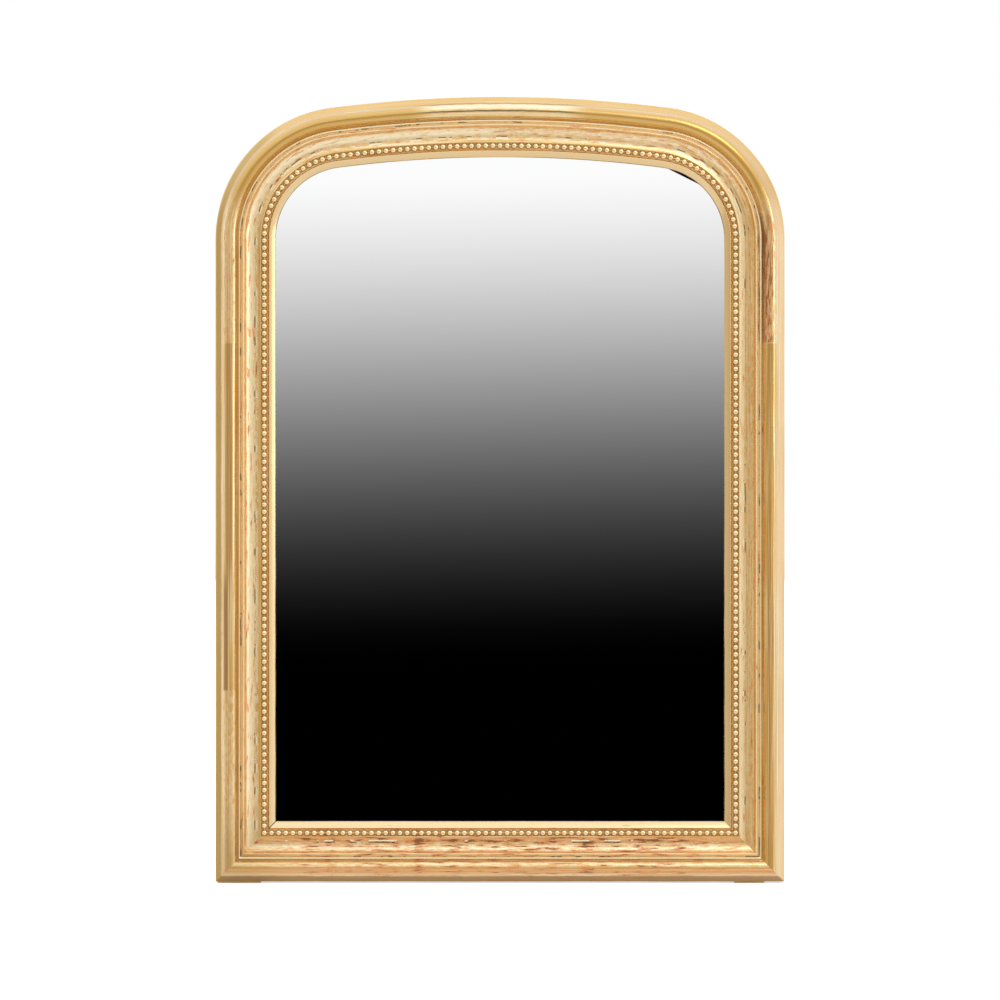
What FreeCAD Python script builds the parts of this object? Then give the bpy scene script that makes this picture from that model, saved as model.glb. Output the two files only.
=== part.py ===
import FreeCAD, Part
import Sketcher
import math
import os
import re

# Gilded arched mirror. A pine carcass carries three gilt mouldings, a string of pearls and the glass.
# Distances named "inset" are measured inwards from the outer edge of the frame. Heights named
# "face", "crest" or "floor" are measured forwards from the flat back of the carcass.
SIZES = {
    # the whole frame
    "frame_width": "796",
    "frame_height": "1098",
    "corner_radius": "185",
    "arch_radius": "1840",
    # pine carcass, half-lapped where its members meet and as wide as the outer and inner mouldings
    "carcass_thickness": "22",
    "lap_length": "60",
    "rebate_width": "12",
    "rebate_depth": "8",
    # outer moulding: bead, splay, main roll, groove, fillet
    "side_height": "5",
    "bead_radius": "3.3",
    "splay_width": "4.4",
    "splay_rise": "4.5",
    "roll_lift": "9.5",
    "roll_radius": "9.25",
    "groove_drop": "1.5",
    "groove_width": "1.8",
    "fillet_slope": "0.7",
    "fillet_width": "3.2",
    "fillet_lift": "1.5",
    # inner moulding: raised lip, hollow, pearl channel
    "lip_slope": "4.2",
    "lip_lift": "4",
    "lip_flat": "0.7",
    "hollow_width": "23",
    "hollow_drop": "8.8",
    "hollow_radius": "15.4",
    "ledge_width": "1.2",
    "channel_drop": "1.8",
    "channel_width": "9.7",
    # string of pearls
    "pearl_diameter": "8.2",
    "pearl_pitch": "10",
    "pearl_tip_diameter": "4",
    "pearl_projection": "4.1",
    # slip, the thin bevelled moulding that covers the edge of the glass
    "slip_width": "10",
    "slip_arris_width": "1.4",
    "slip_arris_drop": "1.8",
    "slip_crest": "11",
    "slip_nose_width": "1",
    "slip_nose_height": "4.2",
    # glass and its wedge blocks
    "glass_thickness": "4",
    "glass_cover": "7",
    "block_length": "52",
    "block_width": "13",
    "block_end_distance": "90",
    "bottom_block_share": "0.25",
    # back boards and the nails that hold them
    "board_clearance": "1",
    "board_gap": "1",
    "nail_head": "5",
    "nail_head_thickness": "1.2",
    "nail_shank": "2",
    "nail_length": "17",
    "nail_edge_distance": "5",
    "nail_end_distance": "36",
    # hanging plates and rings
    "hanger_distance": "87",
    "hanger_inset": "31",
    "hanger_width": "22",
    "hanger_drop": "58",
    "plate_thickness": "1.5",
    "plate_corner_clip": "4",
    "knuckle_wall": "1.5",
    "knuckle_standoff": "4.4",
    "pin_radius": "1.5",
    "pin_clearance": "0.1",
    "ring_side_clearance": "1.2",
    "ring_band": "3.4",
    "ring_thickness": "3.4",
    "ring_leg": "12",
    "screw_head_radius": "3.4",
    "screw_head_height": "1.4",
    "screw_radius": "1.4",
    "screw_length": "14",
    "screw_lower_distance": "7",
    "screw_spacing": "12",
    # feet
    "foot_height": "2",
    "foot_front": "40",
    "foot_back": "1",
    "left_foot_inset": "3",
    "left_foot_length": "60",
    "right_foot_inset": "28",
    "right_foot_length": "42",
    # shared overrun of the cutting shapes
    "cut_overrun": "5",
}

BOARD_COUNT = 4
SIDE_BLOCK_COUNT = 3
SCREWS_PER_PLATE = 2

# What follows from the driving sizes, as the sheet's own formulas.
RULES = {
    "arch_angle": "asin((frame_width / 2 - corner_radius) / (arch_radius - corner_radius))",
    "arch_centre": "frame_height - arch_radius",
    "corner_centre": "frame_width / 2 - corner_radius",
    "spring_height": "arch_centre + (arch_radius - corner_radius) * cos(arch_angle)",
    "corner_sweep": "90 deg - arch_angle",
    "lap_angle": "lap_length / arch_radius * 1 rad",
    "lap_depth": "carcass_thickness / 2",
    "rebate_inset": "carcass_width - rebate_width",
    "bead_floor": "carcass_thickness + side_height",
    "splay_inset": "2 * bead_radius",
    "splay_top": "bead_floor + splay_rise",
    "roll_inset": "splay_inset + splay_width",
    "roll_centre": "bead_floor + roll_lift",
    "roll_end": "roll_inset + 2 * roll_radius",
    "groove_floor": "roll_centre - groove_drop",
    "groove_end": "roll_end + groove_width",
    "fillet_inset": "groove_end + fillet_slope",
    "fillet_face": "groove_floor + fillet_lift",
    "seam_inset": "fillet_inset + fillet_width",
    "lip_face": "fillet_face + lip_lift",
    "lip_inset": "seam_inset + lip_slope",
    "hollow_inset": "lip_inset + lip_flat",
    "hollow_end": "hollow_inset + hollow_width",
    "ledge_face": "lip_face - hollow_drop",
    "channel_inset": "hollow_end + ledge_width",
    "channel_floor": "ledge_face - channel_drop",
    "pearl_inset": "channel_inset + pearl_diameter / 2",
    "slip_inset": "channel_inset + channel_width",
    "carcass_width": "slip_inset",
    "slip_face": "carcass_thickness + slip_crest",
    "sight_inset": "slip_inset + slip_width",
    "glass_inset": "sight_inset - glass_cover",
    "glass_back": "carcass_thickness - glass_thickness",
    "block_start": "carcass_width + block_end_distance",
    "block_reach": "spring_height - block_start - block_end_distance - block_length",
    "block_pitch": f"block_reach / {SIDE_BLOCK_COUNT - 1}",
    "board_inset": "rebate_inset + board_clearance",
    "board_pitch": f"(frame_height - 2 * board_inset + board_gap) / {BOARD_COUNT}",
    "board_height": "board_pitch - board_gap",
    "hanger_height": "spring_height - hanger_distance",
    "knuckle_radius": "pin_radius + pin_clearance + knuckle_wall",
    "hanger_reach": "knuckle_standoff + knuckle_radius",
    "roll_crest": "roll_centre + roll_radius",
    "back_plane": "(roll_crest - hanger_reach) / 2",
    "ring_gap": "hanger_width / 2 + ring_side_clearance",
    "ring_half_width": "ring_gap + ring_band",
}

PEARL_SIDES = 5
SCREW_SIDES = 6
FLAT_TURN_DEGREES = 31

doc = FreeCAD.newDocument("ArchedMirror")
sheet = doc.addObject("Spreadsheet::Sheet", "Sizes")
for row, (alias, number) in enumerate(SIZES.items(), start=1):
    sheet.set(f"A{row}", alias)
    sheet.set(f"B{row}", number)
    sheet.setAlias(f"B{row}", alias)
doc.recompute()


# Text in plain words becomes a formula on the sheet's cells.
def formula(text):
    def cell(found):
        word = found.group()
        if word in RULES:
            return "(" + formula(RULES[word]) + ")"
        return "Sizes." + word if word in SIZES else word
    return re.sub(r"[a-z]+(?:_[a-z]+)*", cell, str(text))


# The number that a formula gives, in millimetres or degrees.
def value(text):
    result = sheet.evalExpression(formula(text))
    return float(getattr(result, "Value", result))


sub_parts = []


# A named body that stands on the back plane and on top of the feet.
def new_body(label):
    body = doc.addObject("PartDesign::Body", label)
    body.Label = label
    body.AllowCompound = True
    seat(body)
    sub_parts.append(body)
    return body


# Ties an object's place to the back plane and the top of the feet.
def seat(item):
    item.setExpression("Placement.Base.y", formula("back_plane"))
    item.setExpression("Placement.Base.z", formula("foot_height"))


def origin_plane(body, role):
    return next(plane for plane in body.Origin.OriginFeatures if plane.Role == role)


# The middle point of an arc of a given radius, bulging to the left of the way from one point to the next.
def arc_middle(first, last, radius, left):
    chord = last - first
    half = chord.Length / 2
    rise = radius - math.sqrt(max(radius ** 2 - half ** 2, 0))
    side = FreeCAD.Vector(-chord.y, chord.x, 0).normalize()
    return (first + last) / 2 + side * (rise if left else -rise)


# Draws a closed outline of lines and arcs in a sketch and ties every corner and radius to the sheet.
# A corner is (across, up) or (across, up, radius, bulges_left), where the arc runs to the next corner.
def draw_outline(sketch, corners):
    points = [FreeCAD.Vector(value(corner[0]), value(corner[1]), 0) for corner in corners]
    edges = []
    for number, corner in enumerate(corners):
        first = points[number]
        last = points[(number + 1) % len(points)]
        if len(corner) > 2:
            middle = arc_middle(first, last, value(corner[2]), corner[3])
            index = sketch.addGeometry(Part.Arc(first, middle, last))
        else:
            index = sketch.addGeometry(Part.LineSegment(first, last))
        near, far = (sketch.getPoint(index, end).distanceToPoint(first) for end in (1, 2))
        edges.append((index, 1, 2) if near < far else (index, 2, 1))
    for number, corner in enumerate(corners):
        index, start, end = edges[number]
        following = edges[(number + 1) % len(edges)]
        point = points[number]
        sketch.addConstraint(Sketcher.Constraint("Coincident", index, end, following[0], following[1]))
        for kind, text, size in (("DistanceX", corner[0], point.x), ("DistanceY", corner[1], point.y)):
            if text == "0":
                axis = -2 if kind == "DistanceX" else -1
                sketch.addConstraint(Sketcher.Constraint("PointOnObject", index, start, axis))
            else:
                place = sketch.addConstraint(Sketcher.Constraint(kind, -1, 1, index, start, size))
                sketch.setExpression(f"Constraints[{place}]", formula(text))
        if len(corner) > 2:
            chord = point.distanceToPoint(points[(number + 1) % len(points)])
            if chord < 2 * value(corner[2]):
                place = sketch.addConstraint(Sketcher.Constraint("Radius", index, value(corner[2])))
                sketch.setExpression(f"Constraints[{place}]", formula(corner[2]))
            else:
                place = sketch.addConstraint(Sketcher.Constraint("DistanceY", -1, 1, index, 3, point.y))
                sketch.setExpression(f"Constraints[{place}]", formula(corner[1]))


# A sketch across a member: its first axis lies in the face, its second points forwards.
def section_sketch(body, name, centre, turn, corners):
    sketch = body.newObject("Sketcher::SketchObject", name)
    sketch.AttachmentSupport = (origin_plane(body, "XY_Plane"), [""])
    sketch.MapMode = "FlatFace"
    half_turn = math.radians(value(turn) / 2)
    turned = FreeCAD.Rotation(FreeCAD.Vector(math.cos(half_turn), 0, math.sin(half_turn)), 180)
    sketch.AttachmentOffset = FreeCAD.Placement(FreeCAD.Vector(), turned)
    sketch.setExpression("AttachmentOffset.Base.x", formula(centre[0]))
    sketch.setExpression("AttachmentOffset.Base.z", formula(centre[1]))
    draw_outline(sketch, corners)
    return sketch


# A straight run of a section: corners are (inset, height), and the run goes on for the given length.
def add_run(body, name, section, start, turn, length):
    pad = body.newObject("PartDesign::Pad", name)
    pad.Profile = section_sketch(body, name + "_section", start, turn, section)
    pad.setExpression("Length", formula(length))
    body.Tip = pad


# The same section with each arc drawn as a few flats, which keeps the faces of a bend few.
def with_flats(section):
    flats = []
    for number, corner in enumerate(section):
        flats.append(corner[:2])
        if len(corner) > 2:
            following = section[(number + 1) % len(section)]
            first = FreeCAD.Vector(value(corner[0]), value(corner[1]), 0)
            last = FreeCAD.Vector(value(following[0]), value(following[1]), 0)
            radius = value(corner[2])
            arc = Part.Arc(first, arc_middle(first, last, radius, corner[3]), last).toShape()
            count = math.ceil(math.degrees(arc.Length / radius) / FLAT_TURN_DEGREES)
            points = arc.discretize(count + 1)
            if points[0].distanceToPoint(first) > points[-1].distanceToPoint(first):
                points.reverse()
            flats.extend((f"{point.x:.6f}", f"{point.y:.6f}") for point in points[1:-1])
    return flats


# A curved run of a section round a centre, from the direction "turn" through the angle "sweep".
def add_bend(body, name, section, centre, turn, radius, sweep):
    corners = [(f"{radius} - ({inset})", height) for inset, height in with_flats(section)]
    sketch = section_sketch(body, name + "_section", centre, turn, corners)
    bend = body.newObject("PartDesign::Revolution", name)
    bend.Profile = sketch
    bend.ReferenceAxis = (sketch, ["V_Axis"])
    bend.setExpression("Angle", formula(sweep))
    body.Tip = bend


# A sketch in the plane of the face, seen from the front, at a given height above the back.
def plan_sketch(body, name, height, corners):
    sketch = body.newObject("Sketcher::SketchObject", name)
    sketch.AttachmentSupport = (origin_plane(body, "XZ_Plane"), [""])
    sketch.MapMode = "FlatFace"
    sketch.setExpression("AttachmentOffset.Base.z", formula(height))
    draw_outline(sketch, corners)
    return sketch


def add_plate(body, name, corners, height, thickness):
    pad = body.newObject("PartDesign::Pad", name)
    pad.Profile = plan_sketch(body, name + "_plan", height, corners)
    pad.setExpression("Length", formula(thickness))
    body.Tip = pad


# Cuts a plan shape out of a body, through its whole thickness.
def cut_through(body, name, corners):
    before = body.Shape.Volume
    pocket = body.newObject("PartDesign::Pocket", name)
    pocket.Profile = plan_sketch(body, name + "_plan", "0", corners)
    pocket.SideType = "Symmetric"
    pocket.Type = "ThroughAll"
    body.Tip = pocket
    doc.recompute()
    if body.Shape.Volume >= before:
        raise RuntimeError(f"{name} cuts nothing from {body.Label}")


# The six places where a run or a bend of a moulding starts, on the outline of the frame.
LEFT_TOP = ("-frame_width / 2", "spring_height")
LEFT_BOTTOM = ("-frame_width / 2", "0")
RIGHT_BOTTOM = ("frame_width / 2", "0")
RIGHT_CORNER = ("corner_centre", "spring_height")
LEFT_CORNER = ("-(corner_centre)", "spring_height")
CROWN = ("0", "arch_centre")


# A mitre line runs from a lower corner of the frame to the corner of the sight opening.
def mitre_corners(side, keep_stile):
    outer = f"{side} * (frame_width / 2 + cut_overrun)"
    inner = f"{side} * (frame_width / 2 - sight_inset - cut_overrun)"
    top = "sight_inset + cut_overrun"
    third = (inner, "-cut_overrun") if keep_stile else (outer, top)
    return [(outer, "-cut_overrun"), (inner, top), third]


# One moulding round the frame: two stiles and a bottom rail with mitred ends, and the arch in one
# length with its two corners, because its joints lie under the gesso.
def moulding(name, section):
    left = new_body(name + "_left")
    add_run(left, name + "_left_run", section, LEFT_TOP, "0", "spring_height")
    right = new_body(name + "_right")
    add_run(right, name + "_right_run", section, RIGHT_BOTTOM, "180", "spring_height")
    bottom = new_body(name + "_bottom")
    add_run(bottom, name + "_bottom_run", section, LEFT_BOTTOM, "90", "frame_width")
    doc.recompute()
    cut_through(left, name + "_left_mitre", mitre_corners("-1", True))
    cut_through(right, name + "_right_mitre", mitre_corners("1", True))
    cut_through(bottom, name + "_first_mitre", mitre_corners("-1", False))
    cut_through(bottom, name + "_second_mitre", mitre_corners("1", False))
    arch = new_body(name + "_arch")
    bends = (
        ("right_corner", RIGHT_CORNER, "0", "corner_radius", "corner_sweep"),
        ("crown", CROWN, "corner_sweep", "arch_radius", "2 * arch_angle"),
        ("left_corner", LEFT_CORNER, "90 deg + arch_angle", "corner_radius", "corner_sweep"),
    )
    for part, centre, turn, radius, sweep in bends:
        add_bend(arch, f"{name}_{part}", section, centre, turn, radius, sweep)


# Sections of the three gilt mouldings, drawn from the outer edge inwards.
OUTER_SECTION = [
    ("0", "carcass_thickness"),
    ("0", "bead_floor", "bead_radius", True),
    ("splay_inset", "bead_floor"),
    ("roll_inset", "splay_top"),
    ("roll_inset", "roll_centre", "roll_radius", True),
    ("roll_end", "roll_centre"),
    ("roll_end", "groove_floor"),
    ("groove_end", "groove_floor"),
    ("fillet_inset", "fillet_face"),
    ("seam_inset", "fillet_face"),
    ("seam_inset", "carcass_thickness"),
]
INNER_SECTION = [
    ("seam_inset", "carcass_thickness"),
    ("seam_inset", "fillet_face"),
    ("lip_inset", "lip_face"),
    ("hollow_inset", "lip_face", "hollow_radius", False),
    ("hollow_end", "ledge_face"),
    ("channel_inset", "ledge_face"),
    ("channel_inset", "channel_floor"),
    ("slip_inset", "channel_floor"),
    ("slip_inset", "carcass_thickness"),
]
SLIP_SECTION = [
    ("slip_inset", "carcass_thickness"),
    ("slip_inset", "slip_face - slip_arris_drop"),
    ("slip_inset + slip_arris_width", "slip_face"),
    ("sight_inset - slip_nose_width", "carcass_thickness + slip_nose_height + slip_nose_width"),
    ("sight_inset", "carcass_thickness + slip_nose_height"),
    ("sight_inset", "carcass_thickness"),
]
moulding("outer_moulding", OUTER_SECTION)
moulding("inner_moulding", INNER_SECTION)
moulding("slip", SLIP_SECTION)

# Pine carcass in two layers, so that each joint is half-lapped. The back layer carries the rebate.
FRONT_LAYER = [
    ("0", "lap_depth"),
    ("0", "carcass_thickness"),
    ("carcass_width", "carcass_thickness"),
    ("carcass_width", "lap_depth"),
]
BACK_LAYER = [
    ("0", "0"),
    ("0", "lap_depth"),
    ("carcass_width", "lap_depth"),
    ("carcass_width", "rebate_depth"),
    ("rebate_inset", "rebate_depth"),
    ("rebate_inset", "0"),
]
BACK_END = [
    ("0", "0"),
    ("0", "lap_depth"),
    ("carcass_width", "lap_depth"),
    ("carcass_width", "0"),
]

stile = new_body("carcass_stile_left")
stile_length = "spring_height - carcass_width"
add_run(stile, "left_stile_back", BACK_LAYER, LEFT_TOP, "0", stile_length)
lap_start = ("-frame_width / 2", "spring_height - lap_length")
add_run(stile, "left_stile_front", FRONT_LAYER, lap_start, "0", "spring_height - lap_length")

stile = new_body("carcass_stile_right")
rail_top = ("frame_width / 2", "carcass_width")
add_run(stile, "right_stile_back", BACK_LAYER, rail_top, "180", stile_length)
add_run(stile, "right_stile_front", FRONT_LAYER, RIGHT_BOTTOM, "180", "spring_height - lap_length")

# The bottom rail's back layer runs right across, with its rebate stopped at both ends.
rail = new_body("carcass_rail_bottom")
rail_inner = "frame_width - 2 * rebate_inset"
add_run(rail, "rail_left_end", BACK_END, LEFT_BOTTOM, "90", "rebate_inset")
add_run(rail, "rail_back", BACK_LAYER, ("-frame_width / 2 + rebate_inset", "0"), "90", rail_inner)
add_run(rail, "rail_right_end", BACK_END, ("frame_width / 2 - rebate_inset", "0"), "90", "rebate_inset")
front_start = ("-frame_width / 2 + carcass_width", "0")
add_run(rail, "rail_front", FRONT_LAYER, front_start, "90", "frame_width - 2 * carcass_width")

rail = new_body("carcass_rail_top")
add_bend(rail, "top_rail_back", BACK_LAYER, CROWN, "corner_sweep", "arch_radius", "2 * arch_angle")
front_turn = "corner_sweep + lap_angle"
front_sweep = "2 * arch_angle - 2 * lap_angle"
add_bend(rail, "top_rail_front", FRONT_LAYER, CROWN, front_turn, "arch_radius", front_sweep)

# Each corner block has a tongue in the front layer over the stile and another over the top rail.
block = new_body("carcass_corner_right")
tongue_start = ("frame_width / 2", "spring_height - lap_length")
add_bend(block, "right_block_back", BACK_LAYER, RIGHT_CORNER, "0", "corner_radius", "corner_sweep")
add_run(block, "right_lower_tongue", FRONT_LAYER, tongue_start, "180", "lap_length")
add_bend(block, "right_block_front", FRONT_LAYER, RIGHT_CORNER, "0", "corner_radius", "corner_sweep")
add_bend(block, "right_upper_tongue", FRONT_LAYER, CROWN, "corner_sweep", "arch_radius", "lap_angle")

block = new_body("carcass_corner_left")
left_turn = "90 deg + arch_angle"
add_bend(block, "left_block_back", BACK_LAYER, LEFT_CORNER, left_turn, "corner_radius", "corner_sweep")
add_run(block, "left_lower_tongue", FRONT_LAYER, LEFT_TOP, "0", "lap_length")
add_bend(block, "left_block_front", FRONT_LAYER, LEFT_CORNER, left_turn, "corner_radius", "corner_sweep")
upper_turn = left_turn + " - lap_angle"
add_bend(block, "left_upper_tongue", FRONT_LAYER, CROWN, upper_turn, "arch_radius", "lap_angle")


# The outline of a panel that follows the arch at a given inset, from a given lower edge upwards.
def arch_corners(inset, lower_edge):
    side = f"frame_width / 2 - ({inset})"
    shoulder = f"(arch_radius - ({inset})) * sin(arch_angle)"
    shoulder_height = f"arch_centre + (arch_radius - ({inset})) * cos(arch_angle)"
    corner = f"corner_radius - ({inset})"
    return [
        (f"-({side})", lower_edge),
        (f"-({side})", "spring_height", corner, True),
        (f"-({shoulder})", shoulder_height, f"arch_radius - ({inset})", True),
        (shoulder, shoulder_height, corner, True),
        (side, "spring_height"),
        (side, lower_edge),
    ]


glass = new_body("mirror_glass")
add_plate(glass, "glass_plate", arch_corners("glass_inset", "glass_inset"), "glass_back", "glass_thickness")


# A Part box, cylinder or prism whose size and place are tied to the sheet.
def primitive(kind, name, dimensions, across, height, up):
    item = doc.addObject(kind, name)
    for field, text in dimensions.items():
        item.setExpression(field, formula(text))
    item.setExpression("Placement.Base.x", formula(across))
    item.setExpression("Placement.Base.y", formula(f"back_plane - ({height})"))
    item.setExpression("Placement.Base.z", formula(f"foot_height + ({up})"))
    return item


def box(name, across, height, up, width, thickness, tall):
    dimensions = {"Length": width, "Width": thickness, "Height": tall}
    return primitive("Part::Box", name, dimensions, across, f"({height}) + ({thickness})", up)


def group(label, items):
    compound = doc.addObject("Part::Compound", label)
    compound.Label = label
    compound.Links = items
    sub_parts.append(compound)
    return compound


# Back boards: plain ones laid across the rebate, and a top one sawn to the arch.
for number in range(BOARD_COUNT - 1):
    lower = f"board_inset + {number} * board_pitch"
    board = box(f"back_board_{number + 1}", "-(frame_width / 2 - board_inset)", "0", lower,
                "frame_width - 2 * board_inset", "rebate_depth", "board_height")
    board.Label = f"back_board_{number + 1}"
    sub_parts.append(board)
top_edge = f"board_inset + {BOARD_COUNT - 1} * board_pitch"
top_board = new_body("back_board_top")
add_plate(top_board, "top_board_plate", arch_corners("board_inset", top_edge), "0", "rebate_depth")

# Two square cut nails at each end of every board, driven into the floor of the rebate.
nails = []
nail_line = "frame_width / 2 - board_inset - nail_edge_distance"
for number in range(BOARD_COUNT):
    lower = f"board_inset + {number} * board_pitch"
    upper = f"{lower} + board_height" if number < BOARD_COUNT - 1 else "spring_height"
    for row, level in enumerate((f"{lower} + nail_end_distance", f"{upper} - nail_end_distance")):
        for side in (-1, 1):
            name = f"nail_{number}_{row}_{'left' if side < 0 else 'right'}"
            middle = f"{side} * ({nail_line})"
            head = box(name + "_head", f"{middle} - nail_head / 2", "-nail_head_thickness",
                       f"{level} - nail_head / 2", "nail_head", "nail_head_thickness", "nail_head")
            shank = box(name + "_shank", f"{middle} - nail_shank / 2", "0",
                        f"{level} - nail_shank / 2", "nail_shank", "nail_length", "nail_shank")
            nail = doc.addObject("Part::Fuse", name)
            nail.Base = head
            nail.Tool = shank
            nails.append(nail)
group("back_board_nails", nails)

# Wedge blocks glued to the inner edge of the carcass, behind the glass.
blocks = []
block_depth = "glass_back - rebate_depth"
for number in range(SIDE_BLOCK_COUNT):
    level = f"block_start + {number} * block_pitch"
    for word, across in (("left", "-(frame_width / 2 - carcass_width)"),
                         ("right", "frame_width / 2 - carcass_width - block_width")):
        blocks.append(box(f"block_{word}_{number}", across, "rebate_depth", level,
                          "block_width", block_depth, "block_length"))
for side in (-1, 1):
    across = f"{side} * bottom_block_share * frame_width - block_length / 2"
    blocks.append(box(f"block_bottom_{side + 1}", across, "rebate_depth", "carcass_width",
                      "block_length", block_depth, "block_width"))
crown_level = "arch_centre + sqrt((arch_radius - carcass_width) ^ 2 - (block_length / 2) ^ 2) - block_width"
blocks.append(box("block_crown", "-block_length / 2", "rebate_depth", crown_level,
                  "block_length", block_depth, "block_width"))
group("glass_wedge_blocks", blocks)


# Feet: thin slips of wood under the bottom rail and the foot of the outer moulding.
def foot(label, across, length):
    item = box(label, across, "foot_back", "-foot_height", length, "foot_front - foot_back", "foot_height")
    item.Label = label
    sub_parts.append(item)


foot("foot_left", "-frame_width / 2 + left_foot_inset", "left_foot_length")
foot("foot_right", "frame_width / 2 - right_foot_inset - right_foot_length", "right_foot_length")


# A hanging plate with a rolled knuckle, on the back of a stile.
def hanger(label, side):
    centre = f"{side} * (frame_width / 2 - hanger_inset)"
    plate = box(label + "_plate", f"{centre} - hanger_width / 2", "-plate_thickness",
                "hanger_height - hanger_drop", "hanger_width", "plate_thickness", "hanger_drop")
    doc.recompute()
    clipped = doc.addObject("Part::Chamfer", label + "_clipped")
    clipped.Base = plate
    clip = value("plate_corner_clip")
    lowest = plate.Shape.BoundBox.ZMin
    lower_corners = []
    for number, edge in enumerate(plate.Shape.Edges, start=1):
        extent = edge.BoundBox
        if extent.ZMax - lowest < clip and extent.YLength > extent.XLength:
            lower_corners.append((number, clip, clip))
    clipped.Edges = lower_corners
    tube = primitive("Part::Cylinder", label + "_tube",
                     {"Radius": "knuckle_radius", "Height": "hanger_width"},
                     f"{centre} - hanger_width / 2", "-knuckle_standoff", "hanger_height")
    tube.Placement.Rotation = FreeCAD.Rotation(FreeCAD.Vector(0, 1, 0), 90)
    bore = primitive("Part::Cylinder", label + "_bore",
                     {"Radius": "pin_radius + pin_clearance", "Height": "hanger_width + 2 * cut_overrun"},
                     f"{centre} - hanger_width / 2 - cut_overrun", "-knuckle_standoff", "hanger_height")
    bore.Placement.Rotation = FreeCAD.Rotation(FreeCAD.Vector(0, 1, 0), 90)
    fused = doc.addObject("Part::Fuse", label + "_blank")
    fused.Base = clipped
    fused.Tool = tube
    whole = doc.addObject("Part::Cut", label)
    whole.Base = fused
    whole.Tool = bore
    return whole


# A hanging ring: a round pin in the knuckle and a flat bow that hangs below it.
def ring(label, side):
    centre = f"{side} * (frame_width / 2 - hanger_inset)"
    body = new_body(label)
    low = "hanger_height - ring_leg"
    outer = "ring_half_width"
    top = "hanger_height + ring_band / 2"
    height = "-knuckle_standoff - ring_thickness / 2"
    bow = [
        (f"{centre} - ({outer})", top),
        (f"{centre} - ({outer})", low, outer, False),
        (f"{centre} + ({outer})", low),
        (f"{centre} + ({outer})", top),
        (f"{centre} + ring_gap", top),
        (f"{centre} + ring_gap", low, "ring_gap", True),
        (f"{centre} - (ring_gap)", low),
        (f"{centre} - (ring_gap)", top),
    ]
    add_plate(body, label + "_bow", bow, height, "ring_thickness")
    pin = body.newObject("Sketcher::SketchObject", label + "_pin_section")
    pin.AttachmentSupport = (origin_plane(body, "YZ_Plane"), [""])
    pin.MapMode = "FlatFace"
    pin.setExpression("AttachmentOffset.Base.z", formula(f"{centre} - ring_gap - ring_band / 2"))
    middle = FreeCAD.Vector(value("knuckle_standoff"), value("hanger_height"), 0)
    circle = pin.addGeometry(Part.Circle(middle, FreeCAD.Vector(0, 0, 1), value("pin_radius")))
    for kind, text in (("DistanceX", "knuckle_standoff"), ("DistanceY", "hanger_height")):
        place = pin.addConstraint(Sketcher.Constraint(kind, -1, 1, circle, 3, value(text)))
        pin.setExpression(f"Constraints[{place}]", formula(text))
    place = pin.addConstraint(Sketcher.Constraint("Radius", circle, value("pin_radius")))
    pin.setExpression(f"Constraints[{place}]", formula("pin_radius"))
    rod = body.newObject("PartDesign::Pad", label + "_pin")
    rod.Profile = pin
    rod.setExpression("Length", formula("2 * ring_gap + ring_band"))
    body.Tip = rod


group("hanger_plates", [hanger("hanger_plate_left", -1), hanger("hanger_plate_right", 1)])
ring("hanging_ring_left", -1)
ring("hanging_ring_right", 1)

# Screws through the lower part of both plates into the stiles.
screws = []
for side in (-1, 1):
    for number in range(SCREWS_PER_PLATE):
        name = f"screw_{side + 1}_{number}"
        across = f"{side} * (frame_width / 2 - hanger_inset)"
        level = f"hanger_height - hanger_drop + screw_lower_distance + {number} * screw_spacing"
        head = primitive("Part::Prism", name + "_head",
                         {"Circumradius": "screw_head_radius", "Height": "screw_head_height"},
                         across, "-plate_thickness - screw_head_height", level)
        shank = primitive("Part::Prism", name + "_shank",
                          {"Circumradius": "screw_radius", "Height": "screw_length"},
                          across, "-plate_thickness", level)
        for item in (head, shank):
            item.Polygon = SCREW_SIDES
            item.Placement.Rotation = FreeCAD.Rotation(FreeCAD.Vector(1, 0, 0), 90)
        screw = doc.addObject("Part::Fuse", name)
        screw.Base = head
        screw.Tool = shank
        screws.append(screw)
group("hanger_screws", screws)
doc.recompute()


# The middle line of the pearl channel, from the lower left corner round the arch to the lower right.
def pearl_path():
    inset = value("pearl_inset")
    side = value("frame_width / 2 - pearl_inset")
    rise = value("spring_height - pearl_inset")
    sweep = math.radians(value("corner_sweep"))
    centre = value("corner_centre")
    spring = value("spring_height")
    small = value("corner_radius - pearl_inset")
    large = value("arch_radius - pearl_inset")
    crown_sweep = math.radians(value("2 * arch_angle"))
    return [
        ("left", rise, lambda way: (-side, inset + way, 90)),
        ("arch", small * sweep, lambda way: on_arc(-centre, spring, small, math.pi - way / small)),
        ("arch", large * crown_sweep,
         lambda way: on_arc(0, value("arch_centre"), large, (math.pi + crown_sweep) / 2 - way / large)),
        ("arch", small * sweep, lambda way: on_arc(centre, spring, small, sweep - way / small)),
        ("right", rise, lambda way: (side, spring - way, -90)),
    ]


def on_arc(across, up, radius, angle):
    return across + radius * math.cos(angle), up + radius * math.sin(angle), math.degrees(angle) - 90


# Pearls at an even pitch: along the sides and the arch, and along the bottom with its two corner pearls.
def pearl_places():
    places = {"left": [], "arch": [], "right": [], "bottom": []}
    path = pearl_path()
    whole = sum(length for part, length, place in path)
    count = round(whole / value("pearl_pitch"))
    for number in range(1, count):
        way = whole * number / count
        for part, length, place in path:
            if way <= length:
                places[part].append(place(way))
                break
            way -= length
    start = value("pearl_inset - frame_width / 2")
    width = value("frame_width - 2 * pearl_inset")
    count = round(width / value("pearl_pitch"))
    for number in range(count + 1):
        places["bottom"].append((start + width * number / count, value("pearl_inset"), 0))
    return places


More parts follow.
